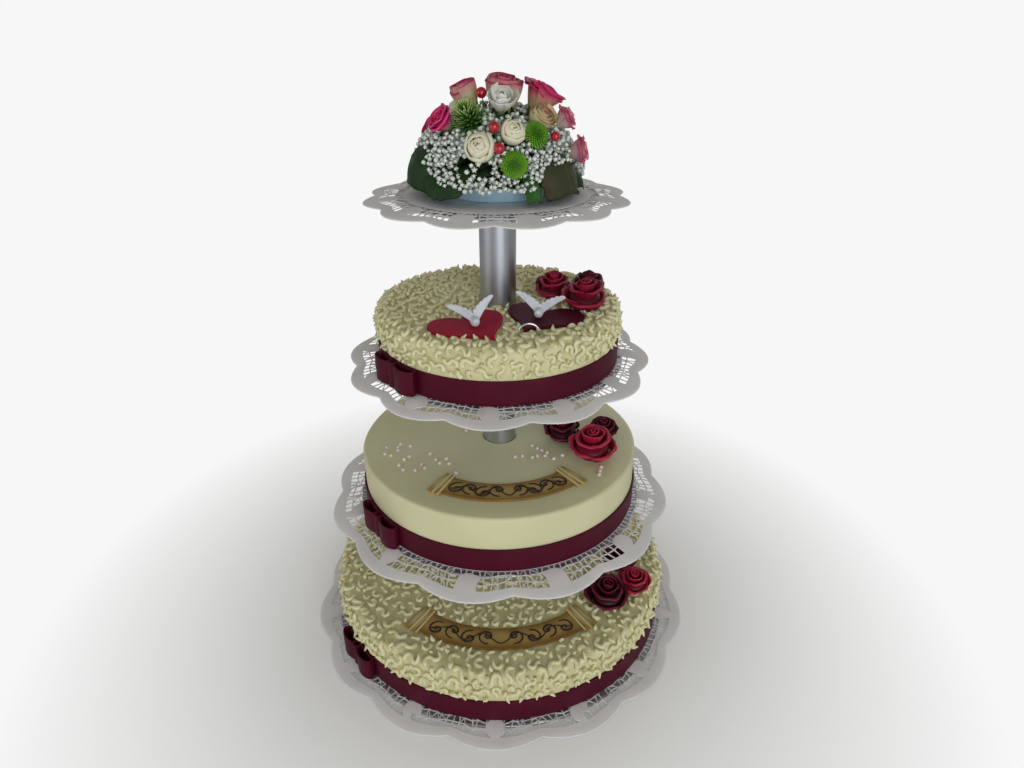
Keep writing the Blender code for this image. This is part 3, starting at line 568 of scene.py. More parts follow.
def around(tier, azimuth, run, aside, out, height):
    """The point beside a place on a cake, so far aside and further out along its surface."""
    if run < cake_radius(tier) - EDGE_ROUND[tier]:
        turn = math.degrees(math.atan2(aside, run + out))
        return on_cake(tier, azimuth + turn, math.hypot(run + out, aside), height)
    return on_cake(tier, azimuth + math.degrees(aside / cake_radius(tier)), run + out, height)


def tree_of(nodes):
    """A search tree over the CAD solids of some nodes."""
    verts, faces = [], []
    for node in nodes:
        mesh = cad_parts[node].data
        base = len(verts)
        verts += [vert.co.copy() for vert in mesh.vertices]
        faces += [[base + corner for corner in face.vertices] for face in mesh.polygons]
    return BVHTree.FromPolygons(verts, faces)


def cells_near(point, size):
    """The grid cells round a point, its own one first."""
    x, y, z = (math.floor(value / size) for value in point)
    yield x, y, z
    for dx in (-1, 0, 1):
        for dy in (-1, 0, 1):
            for dz in (-1, 0, 1):
                yield x + dx, y + dy, z + dz


def crowded(taken, spot, gap):
    """Whether a place taken before is nearer to a spot than the gap."""
    return any((spot - other).length < gap for cell in cells_near(spot, gap)
               for other in taken.get(cell, ()))


def take(taken, spot, gap):
    """Note a spot in its grid cell."""
    taken.setdefault(next(cells_near(spot, gap)), []).append(spot)


def join(bm, mesh):
    """Move mesh data into a bmesh."""
    bm.from_mesh(mesh)
    bpy.data.meshes.remove(mesh)


def piping(tier):
    """Strokes thrown at random on a cake's top, edge and side, each kept where it has room."""
    draw = random.Random(11 + tier)
    gap = STROKE_GAP[tier]
    high, bend = cake_high(tier), EDGE_ROUND[tier]
    flat = cake_radius(tier) - bend
    band_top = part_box(f"band_{tier + 1}")[1].z
    last_run = flat + bend * math.pi / 2 + high - bend - band_top - PLAIN_ABOVE_BAND
    toppings = tree_of(TOPPINGS[tier])
    long_strokes = STROKES if tier == 0 else STROKES[:3] + TOP_STROKES
    shapes = [curl(turns) for turns in long_strokes + SHORT_STROKES + BLOBS]
    kinds = (0, len(long_strokes), len(long_strokes + SHORT_STROKES), len(shapes))
    meshes = [stroke_mesh(shape) for shape in shapes]
    taken = {}
    bm = bmesh.new()
    for attempt in range(STROKE_TRIES[tier]):
        on_top = draw.random() < TOP_SHARE
        run = flat * math.sqrt(draw.random()) if on_top else draw.uniform(flat, last_run)
        azimuth = draw.uniform(-180, 180)
        turn = Matrix.Rotation(draw.uniform(0, math.tau), 3, "Z")
        turn *= STROKE_SCALE[tier] * draw.uniform(0.86, 1.12)
        phase = sum(attempt / STROKE_TRIES[tier] >= share for share in KIND_SHARES)
        kind = draw.randrange(kinds[phase], kinds[phase + 1])
        spots = []
        for point in shapes[kind]:
            moved = turn @ point
            spot = around(tier, azimuth, run, moved.x, moved.y, STRAND_RADIUS * SPOT_LIFT)
            low = spot.z < band_top + PLAIN_ABOVE_BAND
            if crowded(taken, spot, gap) or low or toppings.find_nearest(spot, TOPPING_GAP)[0]:
                break
            spots.append(spot)
        else:
            for spot in spots:
                take(taken, spot, gap)
            stamp = meshes[kind].copy()
            flatten = [turn @ vert.co for vert in stamp.vertices]
            for vert, moved in zip(stamp.vertices, flatten):
                vert.co = around(tier, azimuth, run, moved.x, moved.y, moved.z)
            join(bm, stamp)
    bmesh.ops.recalc_face_normals(bm, faces=bm.faces)
    return bm


for tier in (0, 2):
    strokes = piece(f"piping_{CAKE_NODES[tier][5:]}", piping(tier), PIPED_CREAM, None)
    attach(strokes, "root")
    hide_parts(CAKE_NODES[tier])


# ---- Sugar pearls ---------------------------------------------------------------------------
# Small white and pink sugar pearls, dropped in loose rows on the soft icing of the middle cake
# and half sunk in it.
PEARL_ROWS = (
    ((-0.098, -0.012), (-0.067, -0.055), 0.013, 14),
    ((-0.060, -0.032), (-0.038, -0.062), 0.008, 6),
    ((-0.032, 0.022), (-0.027, 0.002), 0.004, 3),
    ((0.027, -0.018), (0.043, -0.032), 0.002, 4),
    ((0.014, -0.036), (0.056, -0.038), 0.004, 7),
    ((0.088, -0.052), (0.086, -0.068), 0.001, 3),
)
PEARL_RADIUS = 0.0017
PEARL_SPACING = 0.0046
PEARL_SEED = 7

PEARL_SUGAR = mottled(
    "pearl_sugar", (0.86, 0.80, 0.80), (0.80, 0.56, 0.56), scales=(45.0, 1200.0),
    roughness=(0.16, 0.26), patch_height=0.0, bump=(0.05, 0.0002), own={"Coat Weight": 0.4})

draw = random.Random(PEARL_SEED)
bm = bmesh.new()
placed = []
for start, end, spread, count in PEARL_ROWS:
    step = (Vector(end) - Vector(start)) / count
    wanted = len(placed) + count
    while len(placed) < wanted:
        along = Vector(start) + step * (len(placed) - wanted + count + 0.5)
        place = along + Vector((draw.uniform(-spread, spread), draw.uniform(-spread, spread)))
        if all((place - other).length > PEARL_SPACING for other in placed):
            placed.append(place)
for place in placed:
    spot = Matrix.Translation((place.x, place.y, cake_high(1) + PEARL_RADIUS * 0.35))
    bmesh.ops.create_uvsphere(bm, u_segments=14, v_segments=9, radius=PEARL_RADIUS, matrix=spot)
pearls = piece("sugar_pearls", bm, PEARL_SUGAR, None)
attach(pearls, "root")
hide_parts("cake_middle")


# ---- Bands ----------------------------------------------------------------------------------
# A strip of burgundy marzipan, rolled out 1.5 mm thin and cut straight, laid round the foot of
# each cake. Its ends meet under the bow.
BAND_THICKNESS = 0.0015
BAND_EDGE = 0.00035
BAND_WAVE = 0.00022
BAND_WAVE_SCALE = 26.0

BURGUNDY = mottled(
    "burgundy_marzipan", (0.088, 0.0035, 0.0185), (0.066, 0.0025, 0.0135), scales=(40.0, 1500.0),
    roughness=(0.40, 0.55), patch_height=0.35, bump=(0.18, 0.0004),
    own={"Specular IOR Level": 0.14})

for tier, radius in enumerate(BAND_RADIUS):
    lowest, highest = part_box(f"band_{tier + 1}")
    crest = arc((radius - BAND_EDGE, highest.z - BAND_EDGE), BAND_EDGE, 90, 0, 3)
    wall = [(radius, highest.z + (lowest.z - highest.z) * i / WALL_RINGS)
            for i in range(1, WALL_RINGS)]
    foot = arc((radius - BAND_EDGE, lowest.z + BAND_EDGE), BAND_EDGE, 0, -90, 3)
    inner = radius - BAND_THICKNESS
    bm = turned(crest + wall + foot + [(inner, lowest.z), (inner, highest.z)], CAKE_STEPS, True)
    for vert in bm.verts:
        swell = noise.noise(vert.co * BAND_WAVE_SCALE) * BAND_WAVE - BAND_WAVE / 2
        if vert.co.xy.length > radius - BAND_THICKNESS / 2:
            vert.co += Vector((*(vert.co.xy.normalized() * swell), 0))
    strip = piece(f"band_strip_{tier + 1}", bm, BURGUNDY, 50)
    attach(strip, "root")
    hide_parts(f"band_{tier + 1}")


# ---- Bows -----------------------------------------------------------------------------------
# Each bow is a strip of the same marzipan set on edge in two open loops, with a short strip folded
# over the middle, and pressed against the band at the left of the front.
BOW_AZIMUTH = (-53.0, -51.5, -49.5)
BOW_HALF = 0.0280
BOW_DEPTH = 0.0095
BOW_WALL = 0.0013
LOOP_STEPS = 14
LOOP_BACK = (0.04, 0.30, 0.60, 0.84)
KNOT_HALF = 0.0036
KNOT_STEPS = 8
BOW_GAP = 0.0004
BOW_MARGIN = (0.0003, 0.0008)
BOW_ROUND = 0.0003


def loop_path(side):
    """A bow loop's middle line as (along, out): flat on the band, bulging in front."""
    back = [(side * BOW_HALF * share, BOW_WALL * 0.5) for share in LOOP_BACK]
    front = []
    for index in range(LOOP_STEPS + 1):
        share = index / LOOP_STEPS
        bulge = math.sin(math.pi * (0.13 + 0.80 * share)) ** 0.75
        along = BOW_HALF * (0.97 - 0.93 * share - 0.10 * (1 - share) ** 6)
        front.append((side * along, (BOW_DEPTH - BOW_WALL) * (0.16 + 0.84 * bulge)))
    return back + front


def knot_path():
    """The strip over the middle of a bow, from one side round the front to the other."""
    angles = [math.pi * i / KNOT_STEPS for i in range(KNOT_STEPS + 1)]
    return [(KNOT_HALF * math.cos(a), BOW_DEPTH * (0.22 + 0.42 * math.sin(a) ** 0.6))
            for a in angles]


def upright_strip(bm, tier, path, low, high):
    """A wire along a path round the band, drawn upwards to a strip."""
    back = BAND_RADIUS[tier] + BOW_GAP
    verts = [bm.verts.new(polar(BOW_AZIMUTH[tier] + math.degrees(along / back), back + out, low))
             for along, out in path]
    edges = [bm.edges.new(pair) for pair in zip(verts, verts[1:])]
    for level in (0.5, 1.0):
        drawn = bmesh.ops.extrude_edge_only(bm, edges=edges)["geom"]
        edges = [item for item in drawn if isinstance(item, bmesh.types.BMEdge)]
        for vert in verts_in(drawn):
            vert.co.z = low + (high - low) * level


for tier in range(3):
    lowest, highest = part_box(f"bow_{tier + 1}")
    bm = bmesh.new()
    for side in (1, -1):
        upright_strip(bm, tier, loop_path(side), lowest.z + BOW_MARGIN[0],
                      highest.z - BOW_MARGIN[1])
    upright_strip(bm, tier, knot_path(), lowest.z, highest.z)
    bmesh.ops.recalc_face_normals(bm, faces=bm.faces)
    bow = piece(f"bow_ribbon_{tier + 1}", bm, BURGUNDY, 60)
    modify(bow, "SOLIDIFY", thickness=BOW_WALL, offset=0.0)
    modify(bow, "BEVEL", width=BOW_ROUND, segments=2, limit_method="ANGLE")
    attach(bow, "root")
    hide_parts(f"bow_{tier + 1}")


# ---- Plaques --------------------------------------------------------------------------------
# Curved plaques of pale marzipan on the two lower cakes, their body airbrushed ochre and darker
# to the rim, with a folded ribbon end at each side. A plain scroll in chocolate runs along them.
PLAQUES = (
    ("bottom", 0, -34.0, 36.0, 0.1085, 0.1315),
    ("middle", 1, -28.5, 40.0, 0.0805, 0.1030),
)
PLAQUE_THICKNESS = 0.0018
PLAQUE_CELLS = (44, 10)
PLAQUE_ROUND = 0.0005
TAIL_SPAN = 5.5
TAIL_LAP = 1.2
TAIL_LEAN = 0.8
TAIL_REACH = 0.003
TAIL_THICKNESS = 0.0016
BAR_RADIUS = 0.0011
BAR_STEPS = 6
SCROLL_RADIUS = 0.00062
SCROLLS = 4
SCROLL_TURNS = ((0.0072, 120), (0.0044, 150), (0.0024, 170), (0.0013, 170))
VINE_SWING = 0.0052
VINE_STEPS = 60


SPRAY_DRIFT = 0.7
SPRAY_SPAN = (0.62, 1.28)


def make_airbrush_group():
    """Colour sprayed round the rim of a plaque, read from its own edge attribute."""
    group, given, place = shader_group("airbrush", {
        "Middle": (0.6, 0.5, 0.2), "Rim": (0.3, 0.2, 0.05), "Smooth": 0.45, "Rough": 0.6})
    edge = new_node(group, "Attribute", {}, "Fac", attribute_name="edge")
    drift = noise_node(group, place, 55.0, 3.0)
    shifted = new_node(group, "Math", {0: drift, 1: SPRAY_DRIFT, 2: edge},
                       operation="MULTIPLY_ADD")
    spray = map_range(group, shifted, *SPRAY_SPAN)
    grain = noise_node(group, place, 900.0, 2.0)
    colour = mix_colour(group, spray, given["Middle"], given["Rim"])
    return finish_group(group, given, colour, grain, grain)


AIRBRUSH = make_airbrush_group()
SPRAYED = finish_with("sprayed_marzipan", AIRBRUSH,
                      {"Middle": (0.50, 0.34, 0.11), "Rim": (0.26, 0.135, 0.022)},
                      (0.15, 0.0003), {"Specular IOR Level": 0.35})
TAIL_FINISH = finish_with("folded_marzipan", AIRBRUSH,
                          {"Middle": (0.66, 0.54, 0.26), "Rim": (0.44, 0.30, 0.10)},
                          (0.15, 0.0003), {"Specular IOR Level": 0.35})
CHOCOLATE = mottled(
    "dark_chocolate", (0.035, 0.010, 0.006), (0.022, 0.006, 0.004), scales=(300.0, 1500.0),
    roughness=(0.28, 0.42), patch_height=0.3, bump=(0.2, 0.0002))


def bent_sheet(bm, cells, low, high, near, far, height, lean=0.0):
    """A flat sheet bent round the axis between two azimuths, its edge attribute 1 at the rim."""
    edge_layer = bm.verts.layers.float.get("edge") or bm.verts.layers.float.new("edge")
    sheet = bmesh.ops.create_grid(bm, x_segments=cells[0], y_segments=cells[1], size=1.0)["verts"]
    for vert in sheet:
        aside, out = vert.co.x, vert.co.y
        azimuth = (low + high) / 2 + (high - low) / 2 * aside + lean * (out + 1) / 2
        vert[edge_layer] = max(abs(out), abs(aside) ** 12)
        vert.co = polar(azimuth, (near + far) / 2 + (far - near) / 2 * out, height)


def solid_sheet(bm, thickness):
    """Give flat sheets their thickness, drawn down from the face that shows."""
    bmesh.ops.recalc_face_normals(bm, faces=bm.faces)
    for face in bm.faces:
        if face.normal.z < 0:
            face.normal_flip()
    bmesh.ops.solidify(bm, geom=bm.faces[:], thickness=thickness)


for name, tier, first, last, near, far in PLAQUES:
    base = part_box(f"banner_{name}")[0]
    top = base.z + PLAQUE_THICKNESS
    bm = bmesh.new()
    bent_sheet(bm, PLAQUE_CELLS, first, last, near, far, top)
    solid_sheet(bm, PLAQUE_THICKNESS)
    body = piece(f"plaque_body_{name}", bm, SPRAYED, 40)
    modify(body, "BEVEL", width=PLAQUE_ROUND, segments=2)
    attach(body, "root")
    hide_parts(f"banner_{name}")

    bm = bmesh.new()
    bm.verts.layers.float.new("edge")
    for end, side in ((first, -1), (last, 1)):
        low, high = sorted((end - side * TAIL_LAP, end + side * TAIL_SPAN))
        bent_sheet(bm, (6, 8), low, high, near - TAIL_REACH, far + TAIL_REACH,
                   base.z + TAIL_THICKNESS, -side * TAIL_LEAN)
    solid_sheet(bm, TAIL_THICKNESS)
    for end, side in ((first, -1), (last, 1)):
        for azimuth in (end - side * TAIL_LAP * 0.4, end + side * TAIL_SPAN * 0.42):
            start = polar(azimuth, near - TAIL_REACH, top)
            stop = polar(azimuth - side * TAIL_LEAN, far + TAIL_REACH, top)
            bar = [start.lerp(stop, i / BAR_STEPS) for i in range(BAR_STEPS + 1)]
            girths = [BAR_RADIUS] * len(bar)
            girths[0] = girths[-1] = BAR_RADIUS * 0.7
            join(bm, to_mesh("bar", strand(bar, girths, 8)))
    tails = piece(f"plaque_tails_{name}", bm, TAIL_FINISH, 40)
    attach(tails, "root")
    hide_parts(f"banner_{name}")

    middle = (near + far) / 2
    span = math.radians(last - first) * middle
    vine = []
    for index in range(VINE_STEPS + 1):
        share = index / VINE_STEPS - 0.5
        swing = VINE_SWING * math.cos(2 * math.pi * share * SCROLLS) * (1 - 1.6 * share * share)
        vine.append(polar((first + last) / 2 + (last - first) * 0.88 * share, middle + swing,
                          top + SCROLL_RADIUS * 0.3))
    bm = strand(vine, [SCROLL_RADIUS * 0.85] * len(vine), 6)
    for index in range(SCROLLS):
        for side in (-1, 1):
            path = curl(SCROLL_TURNS, 25)
            centre = side * span * (index + 0.9) / (2 * SCROLLS + 1.6)
            flip = 1 if index % 2 else -1
            spots = []
            for point in path:
                along = centre + side * point.x * 1.15
                azimuth = (first + last) / 2 + math.degrees(along / middle)
                spots.append(polar(azimuth, middle + flip * point.y, top + SCROLL_RADIUS * 0.4))
            widths = [SCROLL_RADIUS * (0.5 + math.sin(math.pi * min(1.0, 0.12 + i / len(path))))
                      for i in range(len(path))]
            join(bm, to_mesh("scroll", strand(spots, widths, 6)))
    scroll = piece(f"plaque_scroll_{name}", bm, CHOCOLATE, None)
    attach(scroll, "root")


# ---- Hearts ---------------------------------------------------------------------------------
# Two hearts cut from 2.6 mm marzipan lie on the top cake, the left one bright crimson and the
# right one nearly black-red. Their cut edge is softly rounded.
HEARTS = (("heart_left", 0.0000, -0.0850, -36.0), ("heart_right", 0.0200, -0.0700, 27.0))
HEART_LENGTH = 0.058
HEART_POINTS = 60
HEART_SHARE = HEART_LENGTH / 29.0
HEART_ROUND = 0.0006

CRIMSON = mottled(
    "crimson_marzipan", (0.460, 0.016, 0.050), (0.330, 0.010, 0.034), scales=(55.0, 900.0),
    roughness=(0.46, 0.60), patch_height=0.4, bump=(0.18, 0.0004),
    own={"Specular IOR Level": 0.10})
DEEP_BURGUNDY = mottled(
    "deep_burgundy_marzipan", (0.105, 0.0060, 0.0240), (0.070, 0.0045, 0.0160),
    scales=(50.0, 900.0), roughness=(0.46, 0.60), patch_height=0.4, bump=(0.18, 0.0004),
    own={"Specular IOR Level": 0.10})

for name, x, y, turn in HEARTS:
    lowest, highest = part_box(name)
    axis = Vector((math.sin(math.radians(turn)), math.cos(math.radians(turn)), 0))
    beside = Vector((axis.y, -axis.x, 0))
    bm = bmesh.new()
    bmesh.ops.create_circle(bm, cap_ends=True, segments=HEART_POINTS, radius=1.0)
    for vert in bm.verts:
        angle = math.atan2(vert.co.x, vert.co.y)
        along = (17 + 13 * math.cos(angle) - 5 * math.cos(2 * angle) - 2 * math.cos(3 * angle)
                 - math.cos(4 * angle)) * HEART_SHARE
        vert.co = (Vector((x, y, lowest.z)) + axis * along
                   + beside * 16 * math.sin(angle) ** 3 * HEART_SHARE)
    bmesh.ops.remove_doubles(bm, verts=bm.verts, dist=0.0006)
    top = bmesh.ops.extrude_discrete_faces(bm, faces=bm.faces[:])["faces"]
    bmesh.ops.translate(bm, verts=top[0].verts, vec=(0, 0, highest.z - lowest.z))
    bmesh.ops.holes_fill(bm, edges=bm.edges)
    bmesh.ops.recalc_face_normals(bm, faces=bm.faces)
    heart = piece(f"cut_{name}", bm, CRIMSON if name == "heart_left" else DEEP_BURGUNDY, 60)
    modify(heart, "BEVEL", width=HEART_ROUND, segments=4, limit_method="ANGLE",
           angle_limit=math.radians(60))
    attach(heart, "root")
    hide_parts(name)


# ---- Doves ----------------------------------------------------------------------------------
# Two doves cast in white sugar sit on the hearts, their wings raised in a V and their tail fanned.
DOVES = (("dove_left", -0.0170, -0.0600, 12.0, (27, 48)),
         ("dove_right", 0.0328, -0.0420, -8.0, (34, 28)))
DOVE_LENGTH = 0.017
DOVE_GIRTH = ((-0.50, 0.05), (-0.42, 0.15), (-0.25, 0.21), (0.0, 0.22), (0.25, 0.17),
              (0.45, 0.10), (0.60, 0.06))
DOVE_SIDES = 14
HEAD_RADIUS = 0.0026
WING_LENGTH = 0.0235
WING_CHORD = (0.0078, 0.0016)
WING_PITCH = 38
WING_SWEEP = 12
FEATHERS = 6
FAN_LENGTH = 0.009
FAN_CHORD = 0.008
FAN_FEATHERS = 4
BEAK_RADIUS = 0.0010
BEAK_LENGTH = 0.0022
SUGAR_SHEET = 0.0009

WHITE_SUGAR = mottled(
    "white_sugar", (0.80, 0.82, 0.88), (0.68, 0.70, 0.77), scales=(160.0, 1600.0),
    roughness=(0.38, 0.60), patch_height=0.4, bump=(0.3, 0.0003))


def feathered(bm, matrix, side, length, chords, feathers):
    """A thin wing or tail from its root outwards, its trailing edge cut in round feathers."""
    sheet = bmesh.ops.create_grid(bm, x_segments=feathers * 4, y_segments=5, size=0.5)["verts"]
    for vert in sheet:
        span, back = vert.co.x + 0.5, vert.co.y + 0.5
        chord = chords[1] + (chords[0] - chords[1]) * (1 - span ** 2.2) ** 0.8
        lobe = abs(math.sin(math.pi * feathers * span))
        reach = chord * (0.86 + 0.14 * lobe) * back
        vert.co = Vector((side * length * span, chord * (0.25 * span - 0.35) + reach,
                          0.0012 * math.sin(math.pi * span) + 0.00035 * lobe * back))
    bmesh.ops.transform(bm, matrix=matrix, verts=sheet)


for name, x, y, turn, lifts in DOVES:
    lowest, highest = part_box(name)
    heading = Matrix.Rotation(math.radians(turn), 4, "Z")
    home = Matrix.Translation((x, y, lowest.z + DOVE_LENGTH * 0.22)) @ heading
    path = [Vector((0, DOVE_LENGTH * share, DOVE_LENGTH * 0.09 * share ** 2))
            for share, _ in DOVE_GIRTH]
    bm = bmesh.new()
    pitch = Matrix.Rotation(math.radians(WING_PITCH), 4, "X")
    for side, angle in zip((-1, 1), lifts):
        lift = Matrix.Rotation(math.radians(-side * angle), 4, "Y")
        sweep = Matrix.Rotation(math.radians(side * WING_SWEEP), 4, "Z")
        feathered(bm, home @ sweep @ lift @ pitch, side, WING_LENGTH, WING_CHORD, FEATHERS)
    fan = Matrix.Translation((-0.0045, DOVE_LENGTH * 0.42, 0.0012))
    feathered(bm, home @ fan, 1, FAN_LENGTH, (FAN_CHORD, FAN_CHORD), FAN_FEATHERS)
    bmesh.ops.solidify(bm, geom=bm.faces[:], thickness=SUGAR_SHEET)
    body = strand(path, [DOVE_LENGTH * girth for _, girth in DOVE_GIRTH], DOVE_SIDES)
    head = Matrix.Translation((0, -DOVE_LENGTH * 0.50, DOVE_LENGTH * 0.13))
    bmesh.ops.create_uvsphere(body, u_segments=14, v_segments=10, radius=HEAD_RADIUS, matrix=head)
    beak = head @ Matrix.Translation((0, -0.0032, -0.0003)) @ Matrix.Rotation(math.pi / 2, 4, "X")
    bmesh.ops.create_cone(body, cap_ends=True, segments=8, radius1=BEAK_RADIUS, radius2=0.0001,
                          depth=BEAK_LENGTH, matrix=beak)
    bmesh.ops.transform(body, matrix=home, verts=body.verts)
    join(bm, to_mesh("body", body))
    bmesh.ops.recalc_face_normals(bm, faces=bm.faces)
    dove = piece(f"sugar_{name}", bm, WHITE_SUGAR, 50)
    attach(dove, "root")
    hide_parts(name)


# ---- Ring -----------------------------------------------------------------------------------
# A thin silver-coloured ring stands upright in front of the right heart, its lower part pushed
# into the cream.
RING_RADIUS = 0.0078
RING_WIRE = 0.0008
RING_PLACE = (0.0243, -0.0760)
RING_RISE = 0.0028
RING_START = -32
RING_SPAN = 244
RING_STEPS = 44

SILVER = mottled(
    "polished_silver", (0.82, 0.82, 0.84), (0.74, 0.74, 0.77), scales=(300.0, 1800.0),
    roughness=(0.10, 0.22), patch_height=0.2, bump=(0.05, 0.0001), own={"Metallic": 1.0})

spokes = [math.radians(RING_START + RING_SPAN * i / RING_STEPS) for i in range(RING_STEPS + 1)]
path = [Vector((RING_PLACE[0] + RING_RADIUS * math.cos(a), RING_PLACE[1],
                cake_high(2) + RING_RISE + RING_RADIUS * math.sin(a))) for a in spokes]
ring = piece("silver_ring", strand(path, [RING_WIRE] * len(path), 10), SILVER, None)
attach(ring, "root")
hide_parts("ring")


# ---- Marzipan roses -------------------------------------------------------------------------
# Nine roses shaped by hand from thin petals of red marzipan, wrapped round a bud one after the
# other, their rims rolled outwards. Three lie on each cake, dark ones beside bright ones.
CAKE_ROSES = (
    ("rose_bottom_1", 0.0990, -0.0730, 0.0170, "dark"),
    ("rose_bottom_2", 0.1265, -0.0560, 0.0135, "bright"),
    ("rose_bottom_3", 0.1190, -0.0230, 0.0150, "dark"),
    ("rose_middle_1", 0.0820, -0.0330, 0.0185, "bright"),
    ("rose_middle_2", 0.0575, -0.0040, 0.0155, "dark"),
    ("rose_middle_3", 0.0955, -0.0020, 0.0120, "dark"),
    ("rose_top_1", 0.0470, 0.0110, 0.0145, "crimson"),
    ("rose_top_2", 0.0715, -0.0130, 0.0165, "crimson"),
    ("rose_top_3", 0.0780, 0.0210, 0.0130, "dark"),
)
# A whorl: petals, radii of foot, belly and rim, height of foot and rim, half angle, curl, jitter
MARZIPAN_WHORLS = (
    (1, (0.04, 0.16, 0.08), 0.10, 0.98, 176, 0.00, 0.00),
    (2, (0.06, 0.34, 0.20), 0.08, 1.00, 112, 0.06, 0.04),
    (3, (0.10, 0.58, 0.40), 0.05, 0.95, 80, 0.14, 0.06),
    (4, (0.14, 0.86, 0.62), 0.02, 0.80, 62, 0.24, 0.09),
    (5, (0.66, 1.04, 0.90), 0.00, 0.46, 54, 0.22, 0.12),
)
PETAL_CELLS = (8, 6)
RUFFLE = 0.06
# Filling of a rose: radius, half height, centre height
ROSE_FILLING = (0.82, 0.26, 0.27)
MARZIPAN_PETAL = 0.0009
ROSE_WIDEN = 1.04
ROSE_LEAN = 8
ROSE_SPIN = 1.3
ROSE_LIFT = 0.0012
VEIN_LINES = (1500, 1500, 260)
TINT_DRIFT = 0.36
FOOT_SPAN = (0.24, 0.58)


def make_petal_group():
    """A petal's colours from foot to rim, read from its tint attribute, with fine long veins."""
    group, given, place = shader_group("petal", {
        "Foot": (0.4, 0.5, 0.2), "Blade": (0.8, 0.8, 0.6), "Rim": (0.7, 0.1, 0.3),
        "Rim Start": 0.7, "Rim Full": 0.95, "Smooth": 0.4, "Rough": 0.6})
    tint = new_node(group, "Attribute", {}, "Fac", attribute_name="tint")
    drift = noise_node(group, place, 140.0, 3.0)
    along = new_node(group, "Math", {0: drift, 1: TINT_DRIFT, 2: tint},
                     operation="MULTIPLY_ADD")
    low = mix_colour(group, map_range(group, along, *FOOT_SPAN), given["Foot"], given["Blade"])
    inner = new_node(group, "Math", {0: along, 1: TINT_DRIFT / 2}, operation="SUBTRACT")
    rim = map_range(group, inner, given["Rim Start"], given["Rim Full"])
    colour = mix_colour(group, rim, low, given["Rim"])
    veins = noise_node(group, place, 1.0, 2.0, VEIN_LINES)
    return finish_group(group, given, colour, drift, veins)


PETAL = make_petal_group()
# Each marzipan rose tone is one colour painted much darker at the foot of every petal, deep between
# the petals, as painted shade, and lighter towards the rim.
MARZIPAN_REDS = {tone: finish_with(f"rose_{tone}", PETAL, tones, (0.10, 0.0002),
                                   {"Specular IOR Level": 0.30}) for tone, tones in {
    "crimson": {"Foot": (0.100, 0.004, 0.014), "Blade": (0.250, 0.008, 0.032),
                "Rim": (0.380, 0.014, 0.052), "Smooth": 0.40, "Rough": 0.56},
    "dark": {"Foot": (0.030, 0.002, 0.006), "Blade": (0.085, 0.004, 0.014),
             "Rim": (0.150, 0.006, 0.026), "Smooth": 0.36, "Rough": 0.52},
    "bright": {"Foot": (0.160, 0.004, 0.018), "Blade": (0.360, 0.010, 0.040),
               "Rim": (0.520, 0.030, 0.080), "Smooth": 0.34, "Rough": 0.50},
}.items()}


def add_petal(bm, turn, radii, low, high, half_angle, curl_out, jitter, draw):
    """One petal: a grid bent round the flower's axis, unit sized, its rim curled outwards."""
    tint = bm.verts.layers.float["tint"]
    cells_across, cells_up = PETAL_CELLS
    sheet = bmesh.ops.create_grid(bm, x_segments=cells_across, y_segments=cells_up, size=1.0)
    foot, belly, rim = radii
    grow = 1 + draw.uniform(-jitter, jitter)
    tip = draw.uniform(-0.12, 0.12)
    phase = draw.uniform(0, math.tau)
    ruffle = RUFFLE * (0.3 + 8 * jitter)
    for vert in sheet["verts"]:
        across, up = vert.co.x, (vert.co.y + 1) / 2
        rise = up * (1 - 0.20 * abs(across - tip) ** 3 * up)
        radius = (foot * (1 - rise) ** 2 + 2 * belly * rise * (1 - rise) + rim * rise ** 2) * grow
        roll = max(0.0, rise - 0.62) / 0.38
        radius += curl_out * roll ** 2 + 0.03 * abs(across) ** 3 * rise
        width = 0.42 + 0.58 * math.sin(math.pi * min(0.5, 0.10 + 0.62 * up))
        angle = turn + math.radians(half_angle) * across * width
        height = low + (high - low) * math.sin(rise * math.pi / 2) ** 0.9 * grow
        height -= curl_out * 0.55 * roll ** 3
        height += ruffle * rise ** 3 * (0.6 - abs(across) + 0.6 * math.sin(5 * across + phase))
        radius += ruffle * rise ** 3 * math.sin(7 * across + phase * 2)
        vert[tint] = rise
        vert.co = Vector((radius * math.sin(angle), -radius * math.cos(angle), height))


def rose_head(whorls, filling, seed):
    """Whorls of petals round a rounded filling, in a flower of radius and height 1."""
    draw = random.Random(seed)
    bm = bmesh.new()
    bm.verts.layers.float.new("tint")
    turn = draw.uniform(0, math.tau)
    for petals, radii, low, high, half_angle, curl_out, jitter in whorls:
        for index in range(petals):
            spin = turn + math.tau * index / petals + draw.uniform(-1, 1) * jitter * 3
            add_petal(bm, spin, radii, low, high * (1 + draw.uniform(-jitter, jitter)), half_angle,
                      curl_out, jitter, draw)
        turn += math.pi / petals + 0.35
    wide, tall, centre = filling
    core = Matrix.Translation((0, 0, centre)) @ Matrix.Diagonal((wide, wide, tall, 1.0))
    bmesh.ops.create_uvsphere(bm, u_segments=16, v_segments=8, radius=1.0, matrix=core)
    return bm


def petals_to_piece(name, bm, material, thickness):
    """A flower's petals as a piece, given their thickness and smoothed."""
    flower = piece(name, bm, material, None)
    modify(flower, "SOLIDIFY", thickness=thickness, offset=0.0)
    modify(flower, "SUBSURF", levels=1, render_levels=1)
    return flower


